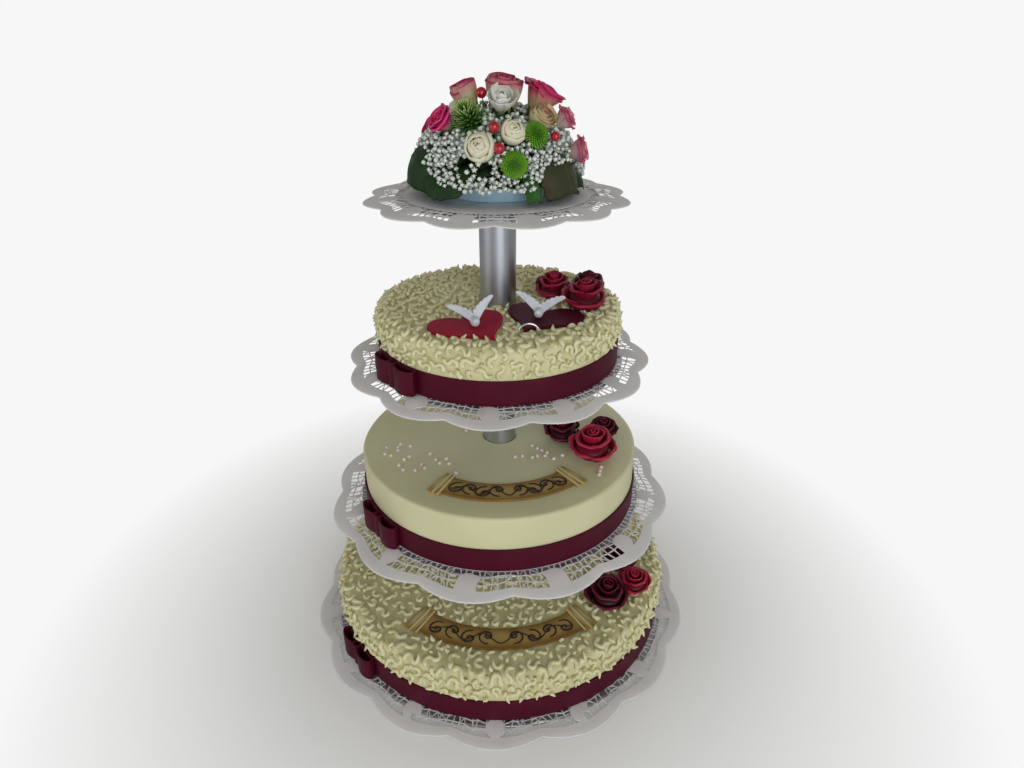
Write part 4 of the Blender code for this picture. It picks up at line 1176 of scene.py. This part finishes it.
for order, (name, x, y, radius, red) in enumerate(CAKE_ROSES):
    lowest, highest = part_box(name)
    bm = rose_head(MARZIPAN_WHORLS, ROSE_FILLING, 60 + order)
    wide = radius * ROSE_WIDEN
    size = Matrix.Diagonal((wide, wide, highest.z - lowest.z, 1.0))
    lean = (Matrix.Rotation(math.radians(ROSE_LEAN), 4, "X")
            @ Matrix.Rotation(order * ROSE_SPIN, 4, "Z"))
    place = Matrix.Translation((x, y, lowest.z + ROSE_LIFT))
    bmesh.ops.transform(bm, matrix=place @ lean @ size, verts=bm.verts)
    rose = petals_to_piece(f"marzipan_{name}", bm, MARZIPAN_REDS[red], MARZIPAN_PETAL)
    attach(rose, "root")
    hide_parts(name)


# ---- Bowl -----------------------------------------------------------------------------------
# A shallow pale blue plastic bowl on the top plate holds wet foam, into which all stems are stuck.
BOWL_RADIUS = 0.045
BOWL_FOOT = 0.0387
BOWL_WALL = 0.002

BLUE_PLASTIC = mottled(
    "blue_plastic", (0.50, 0.68, 0.78), (0.42, 0.60, 0.71), scales=(40.0, 1200.0),
    roughness=(0.22, 0.34), patch_height=0.2, bump=(0.08, 0.0003))

lowest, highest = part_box("bowl")
lip = arc((BOWL_RADIUS - BOWL_WALL / 2, highest.z - BOWL_WALL / 2), BOWL_WALL / 2, 180, -20)
bm = turned([(0, lowest.z + BOWL_WALL), (BOWL_FOOT - BOWL_WALL, lowest.z + BOWL_WALL), *lip,
             (BOWL_FOOT, lowest.z), (0, lowest.z)])
bowl = piece("flower_bowl", bm, BLUE_PLASTIC, 50)
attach(bowl, "root")
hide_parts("bowl")


# ---- Flowers --------------------------------------------------------------------------------
# Roses with green-white petals and magenta rims, open magenta ones, cream buds, a white freesia,
# green button mums and a green thistle, each on its own stem pointing out from the foam.
CORE_CENTRE = Vector((0.0, 0.0, 0.430))
CORE_RADIUS = 0.037
FLOWERS = (
    ("tall_rose_left", "cup", (-0.022, -0.008, 0.483), 0.0095, 0.021),
    ("tall_rose_middle", "cup", (0.005, -0.006, 0.4835), 0.0130, 0.027),
    ("open_rose_right", "wide", (0.0325, -0.004, 0.481), 0.0130, 0.022),
    ("low_rose_right", "pale", (0.0315, -0.0265, 0.4695), 0.0095, 0.016),
    ("white_freesia", "freesia", (0.004, -0.030, 0.481), 0.0090, 0.017),
    ("cream_rose_right", "bud", (0.012, -0.049, 0.462), 0.0085, 0.019),
    ("cream_rose_left", "bud", (-0.010, -0.053, 0.453), 0.0100, 0.021),
    ("button_mum_upper", "mum", (0.030, -0.044, 0.462), 0.0088, 0.012),
    ("button_mum_lower", "mum", (0.014, -0.057, 0.443), 0.0090, 0.012),
    ("green_thistle", "thistle", (-0.0195, -0.0365, 0.4725), 0.0105, 0.024),
    ("open_rose_left", "open", (-0.038, -0.027, 0.468), 0.0100, 0.016),
    ("pink_rose_upper", "pink", (0.050, -0.010, 0.467), 0.0090, 0.015),
    ("pink_rose_right", "pink", (0.060, -0.016, 0.446), 0.0100, 0.016),
    ("pearl_pin_1", "pearl", (-0.010, -0.022, 0.486), 0.0038, 0.0076),
    ("pearl_pin_2", "pearl", (-0.0005, -0.054, 0.467), 0.0038, 0.0076),
    ("pearl_pin_3", "pearl", (0.003, -0.061, 0.454), 0.0038, 0.0076),
    ("pearl_pin_4", "pearl", (0.042, -0.040, 0.459), 0.0034, 0.0068),
    ("back_rose_left", "bud", (-0.026, 0.031, 0.469), 0.0110, 0.021),
    ("back_rose_middle", "open", (0.005, 0.027, 0.482), 0.0115, 0.018),
    ("back_mum", "mum", (0.034, 0.034, 0.464), 0.0092, 0.012),
    ("back_rose_side", "open", (-0.049, 0.020, 0.456), 0.0105, 0.016),
)
PETAL_THICKNESS = 0.00045
FLOWER_FILLING = (0.42, 0.32, 0.38)
WHORLS = {
    "cup": (
        (1, (0.10, 0.22, 0.12), 0.30, 0.95, 176, 0.00, 0.00),
        (2, (0.20, 0.52, 0.26), 0.20, 1.00, 112, 0.03, 0.03),
        (3, (0.30, 0.86, 0.44), 0.10, 1.00, 82, 0.10, 0.04),
        (3, (0.40, 1.16, 0.62), 0.04, 0.98, 78, 0.18, 0.05),
        (4, (0.46, 1.32, 0.80), 0.00, 0.92, 62, 0.24, 0.07),
    ),
    "open": (
        (1, (0.03, 0.12, 0.12), 0.30, 0.84, 178, 0.00, 0.00),
        (3, (0.10, 0.36, 0.30), 0.20, 0.90, 84, 0.06, 0.05),
        (4, (0.15, 0.62, 0.50), 0.12, 0.94, 66, 0.12, 0.06),
        (5, (0.20, 0.84, 0.72), 0.05, 0.92, 56, 0.20, 0.07),
        (5, (0.25, 1.00, 0.86), 0.00, 0.80, 52, 0.26, 0.08),
    ),
    "wide": (
        (1, (0.03, 0.14, 0.12), 0.34, 0.84, 176, 0.00, 0.00),
        (3, (0.10, 0.40, 0.32), 0.24, 0.92, 82, 0.08, 0.06),
        (4, (0.16, 0.70, 0.56), 0.14, 0.98, 66, 0.16, 0.08),
        (4, (0.22, 0.98, 0.84), 0.05, 0.98, 60, 0.28, 0.10),
        (4, (0.28, 1.12, 1.00), 0.00, 0.86, 56, 0.30, 0.12),
    ),
    "bud": (
        (1, (0.05, 0.30, 0.04), 0.20, 0.99, 176, 0.00, 0.00),
        (2, (0.10, 0.60, 0.09), 0.16, 1.00, 112, 0.00, 0.02),
        (3, (0.15, 0.94, 0.20), 0.12, 0.98, 84, 0.02, 0.03),
        (4, (0.25, 1.24, 0.40), 0.05, 0.93, 66, 0.03, 0.04),
        (4, (0.40, 1.42, 0.66), 0.00, 0.82, 62, 0.08, 0.08),
    ),
    "freesia": (
        (2, (0.10, 0.70, 0.14), 0.10, 0.94, 100, 0.02, 0.06),
        (3, (0.14, 1.16, 0.52), 0.05, 1.00, 68, 0.14, 0.10),
        (4, (0.20, 1.52, 0.98), 0.00, 0.90, 56, 0.20, 0.14),
    ),
}
WHORLS["pink"] = WHORLS["open"]
WHORLS["pale"] = WHORLS["cup"]
RAYS = 190
RAY_LENGTH = 0.0056
BRACTS = 150
BRACT_LENGTH = 0.0155
GOLDEN_TURN = math.radians(137.508)
RAY_WIDTH = 0.0015
BRACT_WIDTH = 0.0017
FLOWER_HEIGHT = 0.98
STEM_RADIUS = 0.0014
STEM_SIDES = 8
STEM_FLARE = 0.42
STEM_INTO_FLOWER = 0.12
PIN_RADIUS = 0.0004

PETALS = {kind: finish_with(name, PETAL, tones, (0.15, 0.0003), {}) for kind, name, tones in (
    ("cup", "green_white_petal",
     {"Foot": (0.40, 0.46, 0.16), "Blade": (0.72, 0.60, 0.40), "Rim": (0.50, 0.016, 0.120),
      "Rim Start": 0.34, "Rim Full": 0.86}),
    ("pale", "outer_rose_petal",
     {"Foot": (0.36, 0.44, 0.12), "Blade": (0.66, 0.62, 0.32), "Rim": (0.46, 0.060, 0.090),
      "Rim Start": 0.66, "Rim Full": 0.98}),
    ("wide", "magenta_cream_petal",
     {"Foot": (0.60, 0.54, 0.28), "Blade": (0.70, 0.30, 0.26), "Rim": (0.62, 0.012, 0.130),
      "Rim Start": 0.30, "Rim Full": 0.66}),
    ("open", "magenta_petal",
     {"Foot": (0.76, 0.50, 0.42), "Blade": (0.62, 0.010, 0.120), "Rim": (0.74, 0.060, 0.240)}),
    ("pink", "pink_white_petal",
     {"Foot": (0.66, 0.66, 0.42), "Blade": (0.76, 0.46, 0.52), "Rim": (0.56, 0.020, 0.100),
      "Rim Start": 0.60, "Rim Full": 0.92}),
    ("bud", "cream_petal",
     {"Foot": (0.38, 0.50, 0.16), "Blade": (0.76, 0.74, 0.54), "Rim": (0.80, 0.74, 0.56)}),
    ("freesia", "white_petal",
     {"Foot": (0.60, 0.62, 0.34), "Blade": (0.82, 0.81, 0.74), "Rim": (0.86, 0.85, 0.80)}),
)}
PETALS["mum"] = finish_with(
    "mum_ray", PETAL,
    {"Foot": (0.020, 0.090, 0.004), "Blade": (0.110, 0.330, 0.010), "Rim": (0.30, 0.60, 0.040),
     "Rim Start": 0.50, "Rim Full": 1.0}, (0.1, 0.0002), {})
PETALS["thistle"] = finish_with(
    "thistle_bract", PETAL,
    {"Foot": (0.012, 0.060, 0.006), "Blade": (0.080, 0.230, 0.024), "Rim": (0.64, 0.68, 0.26),
     "Rim Start": 0.52, "Rim Full": 1.00}, (0.1, 0.0002), {})
RED_PEARL = mottled(
    "red_pearl", (0.48, 0.002, 0.020), (0.38, 0.001, 0.014), scales=(200.0, 900.0),
    roughness=(0.08, 0.16), patch_height=0.0, bump=(0.02, 0.0001), own={"Coat Weight": 0.6})
STEM_GREEN = mottled(
    "stem_green", (0.090, 0.200, 0.035), (0.040, 0.110, 0.020), scales=(120.0, 900.0),
    roughness=(0.40, 0.60), patch_height=0.3, bump=(0.2, 0.0003))
FLOWER_SLOTS = {
    **dict.fromkeys(("cup", "pale", "bud", "freesia"), "petal_cream"),
    **dict.fromkeys(("open", "wide", "pink"), "petal_pink"),
    **dict.fromkeys(("mum", "thistle"), "mum_green"),
    "pearl": "pearl_red",
}


def tilted(spin, tilt):
    """A direction at an angle round Z, tilted away from it."""
    return Vector((math.cos(spin) * math.sin(tilt), math.sin(spin) * math.sin(tilt),
                   math.cos(tilt)))


def add_spike(bm, place, aim, length, width, flatness, lift):
    """One narrow pointed ray or bract, its tint running from 0 at the root to 1 at the tip."""
    tint = bm.verts.layers.float["tint"]
    turn = aim.to_track_quat("Z", "Y").to_matrix().to_4x4()
    shape = Matrix.Diagonal((width, width * flatness, length, 1.0))
    made = bmesh.ops.create_uvsphere(bm, u_segments=4, v_segments=3, radius=0.5)["verts"]
    for vert in made:
        up = vert.co.z + 0.5
        vert[tint] = up * lift
        vert.co = Matrix.Translation(place) @ turn @ shape @ Vector((vert.co.x, vert.co.y, up))


def button_mum(radius, height, seed):
    """Fine rays set in a spiral over a low dome, shorter and darker towards its middle."""
    draw = random.Random(seed)
    bm = bmesh.new()
    bm.verts.layers.float.new("tint")
    for index in range(RAYS):
        share = math.sqrt((index + 0.5) / RAYS)
        spin = index * GOLDEN_TURN
        tilt = math.radians(12 + 100 * share ** 1.3 + draw.uniform(-5, 5))
        aim = tilted(spin, tilt)
        length = RAY_LENGTH * (0.45 + 0.55 * share) * draw.uniform(0.9, 1.1)
        flat = radius * 0.62 * share
        foot = Vector((math.cos(spin) * flat, math.sin(spin) * flat,
                       height * (0.62 - 0.42 * share ** 2 - 0.10 * (1 - share) ** 2)))
        add_spike(bm, foot, aim, length, RAY_WIDTH, 0.5, 0.45 + 0.55 * share)
    heart = Matrix.Translation((0, 0, height * 0.30)) @ Matrix.Diagonal((1, 1, 0.62, 1))
    bmesh.ops.create_uvsphere(bm, u_segments=14, v_segments=8, radius=radius * 0.66, matrix=heart)
    return bm


def thistle_head(radius, height, seed):
    """Narrow bracts in a spiral, spreading at the foot and nearly upright at the top."""
    draw = random.Random(seed)
    bm = bmesh.new()
    bm.verts.layers.float.new("tint")
    for index in range(BRACTS):
        share = (index + 0.5) / BRACTS
        spin = index * GOLDEN_TURN
        tilt = math.radians(92 - 78 * share ** 0.8 + draw.uniform(-9, 9))
        aim = tilted(spin, tilt)
        flat = radius * (0.34 - 0.16 * share)
        foot = Vector((math.cos(spin) * flat, math.sin(spin) * flat,
                       height * (0.06 + 0.56 * share)))
        length = BRACT_LENGTH * draw.uniform(0.78, 1.0) * (0.95 - 0.25 * share)
        add_spike(bm, foot, aim, length, BRACT_WIDTH, 0.45, 0.55 + 0.55 * share)
    heart = Matrix.Translation((0, 0, height * 0.36)) @ Matrix.Diagonal((1, 1, 2.0, 1))
    bmesh.ops.create_uvsphere(bm, u_segments=12, v_segments=8, radius=radius * 0.34, matrix=heart)
    return bm


stems = bmesh.new()
for order, (name, kind, head, radius, height) in enumerate(FLOWERS):
    centre = Vector(head)
    axis = (centre - CORE_CENTRE).normalized()
    base = centre - axis * height / 2
    aimed = Matrix.Translation(base) @ axis.to_track_quat("Z", "Y").to_matrix().to_4x4()
    if kind in WHORLS:
        bm = rose_head(WHORLS[kind], FLOWER_FILLING, 200 + order)
        wide = radius * ROSE_WIDEN
        size = Matrix.Diagonal((wide, wide, height * FLOWER_HEIGHT, 1.0))
        bmesh.ops.transform(bm, matrix=aimed @ size, verts=bm.verts)
        flower = petals_to_piece(f"flower_{name}", bm, PETALS[kind], PETAL_THICKNESS)
    elif kind == "pearl":
        bm = bmesh.new()
        bmesh.ops.create_uvsphere(bm, u_segments=28, v_segments=18, radius=radius,
                                  matrix=Matrix.Translation(centre))
        flower = piece(f"flower_{name}", bm, RED_PEARL, None)
    else:
        make = button_mum if kind == "mum" else thistle_head
        bm = make(radius, height, 300 + order)
        bmesh.ops.transform(bm, matrix=aimed, verts=bm.verts)
        flower = piece(f"flower_{name}", bm, PETALS[kind], None)
    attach(flower, "root")
    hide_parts(name)
    root = CORE_CENTRE + axis * CORE_RADIUS * 0.8
    girth = PIN_RADIUS if kind == "pearl" else STEM_RADIUS
    end = base + axis * height * STEM_INTO_FLOWER
    path = [root.lerp(end, share) for share in (0, 0.4, 0.8, 1.0)]
    flare = 1.0 if kind in ("pearl", "mum") else radius * STEM_FLARE / girth
    stem = strand(path, [girth, girth, girth * (1 + flare) / 2, girth * flare], STEM_SIDES)
    join(stems, to_mesh("stem", stem))
stalks = piece("flower_stems", stems, STEM_GREEN, None)
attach(stalks, "root")
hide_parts("greenery")


# ---- Foam and leaves ------------------------------------------------------------------------
# The foam is hidden under short dark sprigs. Broad serrated leaves hang out over the bowl, most
# of them dark green, one brownish and one bright.
CORE_BUMP = 0.0022
SPRIGS = 620
SPRIG_LENGTH = 0.0085
SPRIG_RISE = (-0.10, 1.0)
SPRIG_LEAN = 0.9
SPRIG_DEPTH = (-0.002, 0.011)
SPRIG_WIDTH = (0.0012, 0.0024)
SPRIG_GROWTH = (0.7, 1.2)
# A leaf: azimuth, half width in degrees, length, height of its root, fall, tone
LEAVES = (
    (-74, 23, 0.036, 0.4560, 0.036, "dark"), (-40, 20, 0.035, 0.4400, 0.022, "dark"),
    (-5, 15, 0.019, 0.4370, 0.004, "dark"), (52, 20, 0.036, 0.4500, 0.031, "brownish"),
    (27, 6, 0.033, 0.4370, 0.020, "bright"), (86, 17, 0.034, 0.4400, 0.022, "dark"),
    (118, 18, 0.035, 0.4375, 0.020, "dark"), (152, 18, 0.035, 0.4375, 0.020, "dark"),
    (192, 19, 0.035, 0.4375, 0.020, "dark"), (236, 19, 0.035, 0.4375, 0.020, "dark"),
)
LEAF_ROOT = 0.033
LEAF_CELLS = (40, 36)
LEAF_TEETH = 8
TOOTH = 0.09
LEAF_THICKNESS = 0.0006

MOSS = mottled(
    "dark_sprigs", (0.030, 0.075, 0.016), (0.008, 0.022, 0.006), scales=(90.0, 900.0),
    roughness=(0.45, 0.70), patch_height=0.4, bump=(0.4, 0.0008))
LEAF_GREENS = {tone: finish_with(
    f"{tone}_leaf", PETAL,
    {"Foot": foot, "Blade": blade, "Rim": rim, "Smooth": 0.45, "Rough": 0.62}, (0.3, 0.0004),
    {"Specular IOR Level": 0.2}) for tone, foot, blade, rim in (
        ("dark", (0.030, 0.070, 0.020), (0.014, 0.040, 0.012), (0.020, 0.052, 0.014)),
        ("brownish", (0.070, 0.080, 0.030), (0.045, 0.048, 0.020), (0.060, 0.044, 0.020)),
        ("bright", (0.070, 0.180, 0.030), (0.034, 0.120, 0.018), (0.046, 0.140, 0.024)),
)}


def from_middle(turn, rise):
    """A direction at an angle round Z that rises so far on the unit sphere."""
    level = math.sqrt(max(0.0, 1 - rise * rise))
    return Vector((math.cos(turn) * level, math.sin(turn) * level, rise))


def leaf_blade(azimuth, half_width, length, root_height, fall, seed):
    """A broad serrated leaf hanging outwards, folded a little along its veins."""
    draw = random.Random(seed)
    bm = bmesh.new()
    tint = bm.verts.layers.float.new("tint")
    bmesh.ops.create_grid(bm, x_segments=LEAF_CELLS[0], y_segments=LEAF_CELLS[1], size=1.0)
    droop = draw.uniform(0.94, 1.04)
    for vert in bm.verts:
        across, along = vert.co.x, (vert.co.y + 1) / 2
        vein = abs(math.sin(math.pi * (along * 4.5 - abs(across) * 1.6)))
        side_rim = abs(across) > 0.97
        tooth = TOOTH * abs(math.sin(math.pi * LEAF_TEETH * (along if side_rim else across)))
        width = 0.24 + 0.76 * math.sin(math.pi * (0.10 + 0.66 * along ** 1.1))
        width += tooth if side_rim else 0.0
        reach = math.sin(along * math.pi / 2) - 0.20 * abs(across) ** 2.6 * along
        reach += tooth * 0.8 if along > 0.97 else 0.0
        radius = LEAF_ROOT + length * min(1.0, reach)
        height = root_height - fall * droop * along ** 2
        height += 0.0016 * math.sin(3 * across + azimuth) + 0.0006 * vein
        height -= 0.0014 * math.exp(-(across / 0.08) ** 2)
        vert[tint] = max(0.25 + 0.5 * vein, abs(across)) if abs(across) > 0.05 else 0.0
        vert.co = polar(azimuth + half_width * across * width, radius, height)
    return bm


bm = bmesh.new()
bmesh.ops.create_uvsphere(bm, u_segments=40, v_segments=28, radius=CORE_RADIUS,
                          matrix=Matrix.Translation(CORE_CENTRE))
bowl_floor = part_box("bowl")[0].z + BOWL_WALL
for vert in bm.verts:
    away = vert.co - CORE_CENTRE
    vert.co += away.normalized() * noise.noise(vert.co * 140) * CORE_BUMP
    vert.co.z = max(vert.co.z, bowl_floor + 0.0002)
draw = random.Random(71)
for _ in range(SPRIGS):
    turn = draw.uniform(0, math.tau)
    aim = from_middle(turn, draw.uniform(*SPRIG_RISE))
    away = Vector((draw.uniform(-1, 1), draw.uniform(-1, 1), draw.uniform(-0.6, 1)))
    tilt = (aim + away * SPRIG_LEAN).to_track_quat("Z", "Y").to_matrix().to_4x4()
    place = CORE_CENTRE + aim * (CORE_RADIUS + draw.uniform(*SPRIG_DEPTH))
    spot = Matrix.Translation(place) @ tilt @ Matrix.Diagonal((1.0, 0.25, 1.0, 1.0))
    bmesh.ops.create_cone(bm, cap_ends=True, segments=4, radius1=draw.uniform(*SPRIG_WIDTH),
                          radius2=0.0002, depth=SPRIG_LENGTH * draw.uniform(*SPRIG_GROWTH),
                          matrix=spot)
foam = piece("foam_and_sprigs", bm, MOSS, 60)
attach(foam, "root")
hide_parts("greenery")

for order, (*shape, tone) in enumerate(LEAVES):
    blade = piece(f"leaf_{order + 1}", leaf_blade(*shape, 90 + order), LEAF_GREENS[tone], None)
    modify(blade, "SOLIDIFY", thickness=LEAF_THICKNESS, offset=0.0)
    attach(blade, "root")
    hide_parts("greenery")


# ---- Gypsophila -----------------------------------------------------------------------------
# Sprays of small white double blossoms fill the gaps between the flowers, on hair-thin branching
# green stems.
SPRAY_CENTRE = Vector((0.0, -0.002, 0.422))
SPRAY_REACH = (0.064, 0.061, 0.055)
SPRAY_RISE = (-0.12, 0.97)
SPRAY_SPREAD = (0.86, 1.06)
SPRAY_TRIES = 11000
CLUSTER_SCALE = 58.0
CLUSTER_LEVEL = -0.32
BLOSSOM_RADIUS = (0.0013, 0.0019)
BLOSSOM_GAP = 0.0029
FLOWER_GAP = 0.0022
FLOWER_COVER = 0.012
FLOWER_CLEAR = 1.12
LOW_FRINGE = 0.001
BARE_LEAVES = ((-72, 34), (54, 30))
BARE_RISE = 0.018
BLOSSOM_LEAN = 0.5
HAIR_RADIUS = 0.00022
HAIR_BEND = 0.0012

BLOSSOM_WHITE = mottled(
    "gypsophila_white", (0.95, 0.97, 0.96), (0.74, 0.80, 0.70), scales=(500.0, 1800.0),
    roughness=(0.60, 0.80), patch_height=0.5, bump=(0.3, 0.0004))

draw = random.Random(83)
heads = tree_of([flower[0] for flower in FLOWERS])
bowl_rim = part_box("bowl")[1].z
blossoms, hairs = bmesh.new(), bmesh.new()
blossom = bmesh.new()
bmesh.ops.create_icosphere(blossom, subdivisions=2, radius=1.0)
for vert in blossom.verts:
    ruffle = 1 + 0.38 * math.sin(5 * math.atan2(vert.co.y, vert.co.x) + 2.2 * vert.co.z)
    vert.co *= ruffle * (0.86 + 0.3 * noise.noise(vert.co * 2.6))
    vert.co.z *= 0.78
stamp = to_mesh("blossom", blossom)
taken = {}
for _ in range(SPRAY_TRIES):
    turn = draw.uniform(0, math.tau)
    aim = from_middle(turn, draw.uniform(*SPRAY_RISE))
    reach = draw.uniform(*SPRAY_SPREAD)
    spot = SPRAY_CENTRE + Vector((a * b for a, b in zip(aim, SPRAY_REACH))) * reach
    if crowded(taken, spot, BLOSSOM_GAP) or noise.noise(spot * CLUSTER_SCALE) < CLUSTER_LEVEL:
        continue
    if any((spot - Vector(head)).length < size * FLOWER_CLEAR for _, _, head, size, _ in FLOWERS):
        continue
    bare = max(0.0, *(1 - abs(azimuth_of(spot) - azimuth) / half for azimuth, half in BARE_LEAVES))
    lowest_place = bowl_rim + LOW_FRINGE + BARE_RISE * bare ** 0.5
    if (spot.z < lowest_place or heads.find_nearest(spot, FLOWER_GAP)[0]
            or heads.ray_cast(spot, (CORE_CENTRE - spot).normalized(), FLOWER_COVER)[0]):
        continue
    take(taken, spot, BLOSSOM_GAP)
    facing = aim + Vector([draw.uniform(-1, 1) for _ in range(3)]) * BLOSSOM_LEAN
    one = stamp.copy()
    one.transform(Matrix.Translation(spot) @ facing.to_track_quat("Z", "Y").to_matrix().to_4x4()
                  @ Matrix.Scale(draw.uniform(*BLOSSOM_RADIUS), 4))
    join(blossoms, one)
    root = CORE_CENTRE + (spot - CORE_CENTRE).normalized() * CORE_RADIUS * 0.95
    aside = Vector((draw.uniform(-1, 1), draw.uniform(-1, 1), 0.5))
    bend = root.lerp(spot, 0.6) + aside * HAIR_BEND
    hair = strand([root, bend, spot], [HAIR_RADIUS * 1.5, HAIR_RADIUS, HAIR_RADIUS], 3)
    join(hairs, to_mesh("hair", hair))
for name, bm, material, slot in (("gypsophila_blossoms", blossoms, BLOSSOM_WHITE, "sugar_white"),
                                 ("gypsophila_stems", hairs, STEM_GREEN, "leaf_green")):
    spray = piece(name, bm, material, None)
    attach(spray, "root")
    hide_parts("greenery")


# ---- Camera, light and floor ----------------------------------------------------------------
# The camera looks down on the cake from the front, as in the photograph. Soft light comes from a
# large window in front, a fill at the left, a weak rim from behind and a pale room.
CAMERA_PLACE = (0.0116, -0.5412, 0.5229)
CAMERA_TILT = 62.696
LENS = 23.86
FLOOR_SIZE = 60.0
FLOOR_FADE = (0.12, 0.46)
ROOM_HEIGHTS = (0.05, 0.85)
ROOM_GLOW = (0.50, 0.20)
ROOM_LOW = (0.90, 0.96, 1.06)
ROOM_HIGH = (1.0, 0.94, 0.76)
BACKDROP = (0.93, 0.93, 0.93)

camera = bpy.data.objects.new("camera", bpy.data.cameras.new("camera"))
camera.data.lens = LENS
camera.data.sensor_width = 36.0
camera.data.clip_start = 0.02
camera.location = CAMERA_PLACE
camera.rotation_euler = (math.radians(CAMERA_TILT), 0, 0)
stage_collection.objects.link(camera)
bpy.context.scene.camera = camera

bm = bmesh.new()
bmesh.ops.create_grid(bm, x_segments=1, y_segments=1, size=FLOOR_SIZE / 2)
pale = mottled(
    "pale_floor", (0.92, 0.92, 0.92), (0.90, 0.90, 0.90), scales=(2.0, 40.0),
    roughness=(0.6, 0.7), patch_height=0.0, bump=(0.0, 0.0))
tree = pale.node_tree
place = tree.nodes.new("ShaderNodeTexCoord").outputs["Object"]
away = new_node(tree, "VectorMath", {0: place}, "Value", operation="LENGTH")
seen = tree.nodes.new("ShaderNodeLightPath").outputs["Is Camera Ray"]
shown = new_node(tree, "Math", {0: map_range(tree, away, *FLOOR_FADE), 1: seen},
                 operation="MULTIPLY")
paper_white = new_node(tree, "Emission", {"Color": BACKDROP})
blend = new_node(tree, "MixShader", {0: shown, 1: tree.nodes["Principled BSDF"].outputs[0],
                                     2: paper_white})
tree.links.new(blend, tree.nodes["Material Output"].inputs["Surface"])
floor = piece("floor", bm, pale)


def soft_box(name, place, aim, size, power, colour):
    """A square area light that looks at a point."""
    light = bpy.data.lights.new(name, "AREA")
    light.size = size
    light.energy = power
    light.color = colour
    lamp = bpy.data.objects.new(name, light)
    lamp.location = place
    lamp.rotation_euler = (Vector(aim) - Vector(place)).to_track_quat("-Z", "Y").to_euler()
    stage_collection.objects.link(lamp)


soft_box("front_window", (0.6, -2.0, 0.75), (0, 0, 0.2), 1.5, 18.0, (0.96, 0.98, 1.0))
soft_box("left_fill", (-1.9, -0.9, 0.6), (0, 0, 0.2), 1.2, 5.5, (1.0, 0.99, 0.97))
soft_box("back_rim", (0.8, 1.9, 0.9), (0, 0, 0.3), 1.2, 4.5, (1.0, 0.99, 0.97))

world = bpy.data.worlds.new("pale_room")
world.use_nodes = True
room = world.node_tree
direction = room.nodes.new("ShaderNodeTexCoord").outputs["Generated"]
up = map_range(room, new_node(room, "SeparateXYZ", {"Vector": direction}, "Z"), *ROOM_HEIGHTS)
glow = room.nodes["Background"]
feed(room, glow.inputs["Color"], mix_colour(room, up, ROOM_LOW, ROOM_HIGH))
feed(room, glow.inputs["Strength"], map_range(room, up, 0.0, 1.0, *ROOM_GLOW))
backdrop = new_node(room, "Background", {"Color": BACKDROP})
seen = room.nodes.new("ShaderNodeLightPath").outputs["Is Camera Ray"]
blend = new_node(room, "MixShader", {0: seen, 1: glow.outputs[0], 2: backdrop})
room.links.new(blend, room.nodes["World Output"].inputs["Surface"])
bpy.context.scene.world = world
bpy.context.scene.view_settings.view_transform = "Standard"
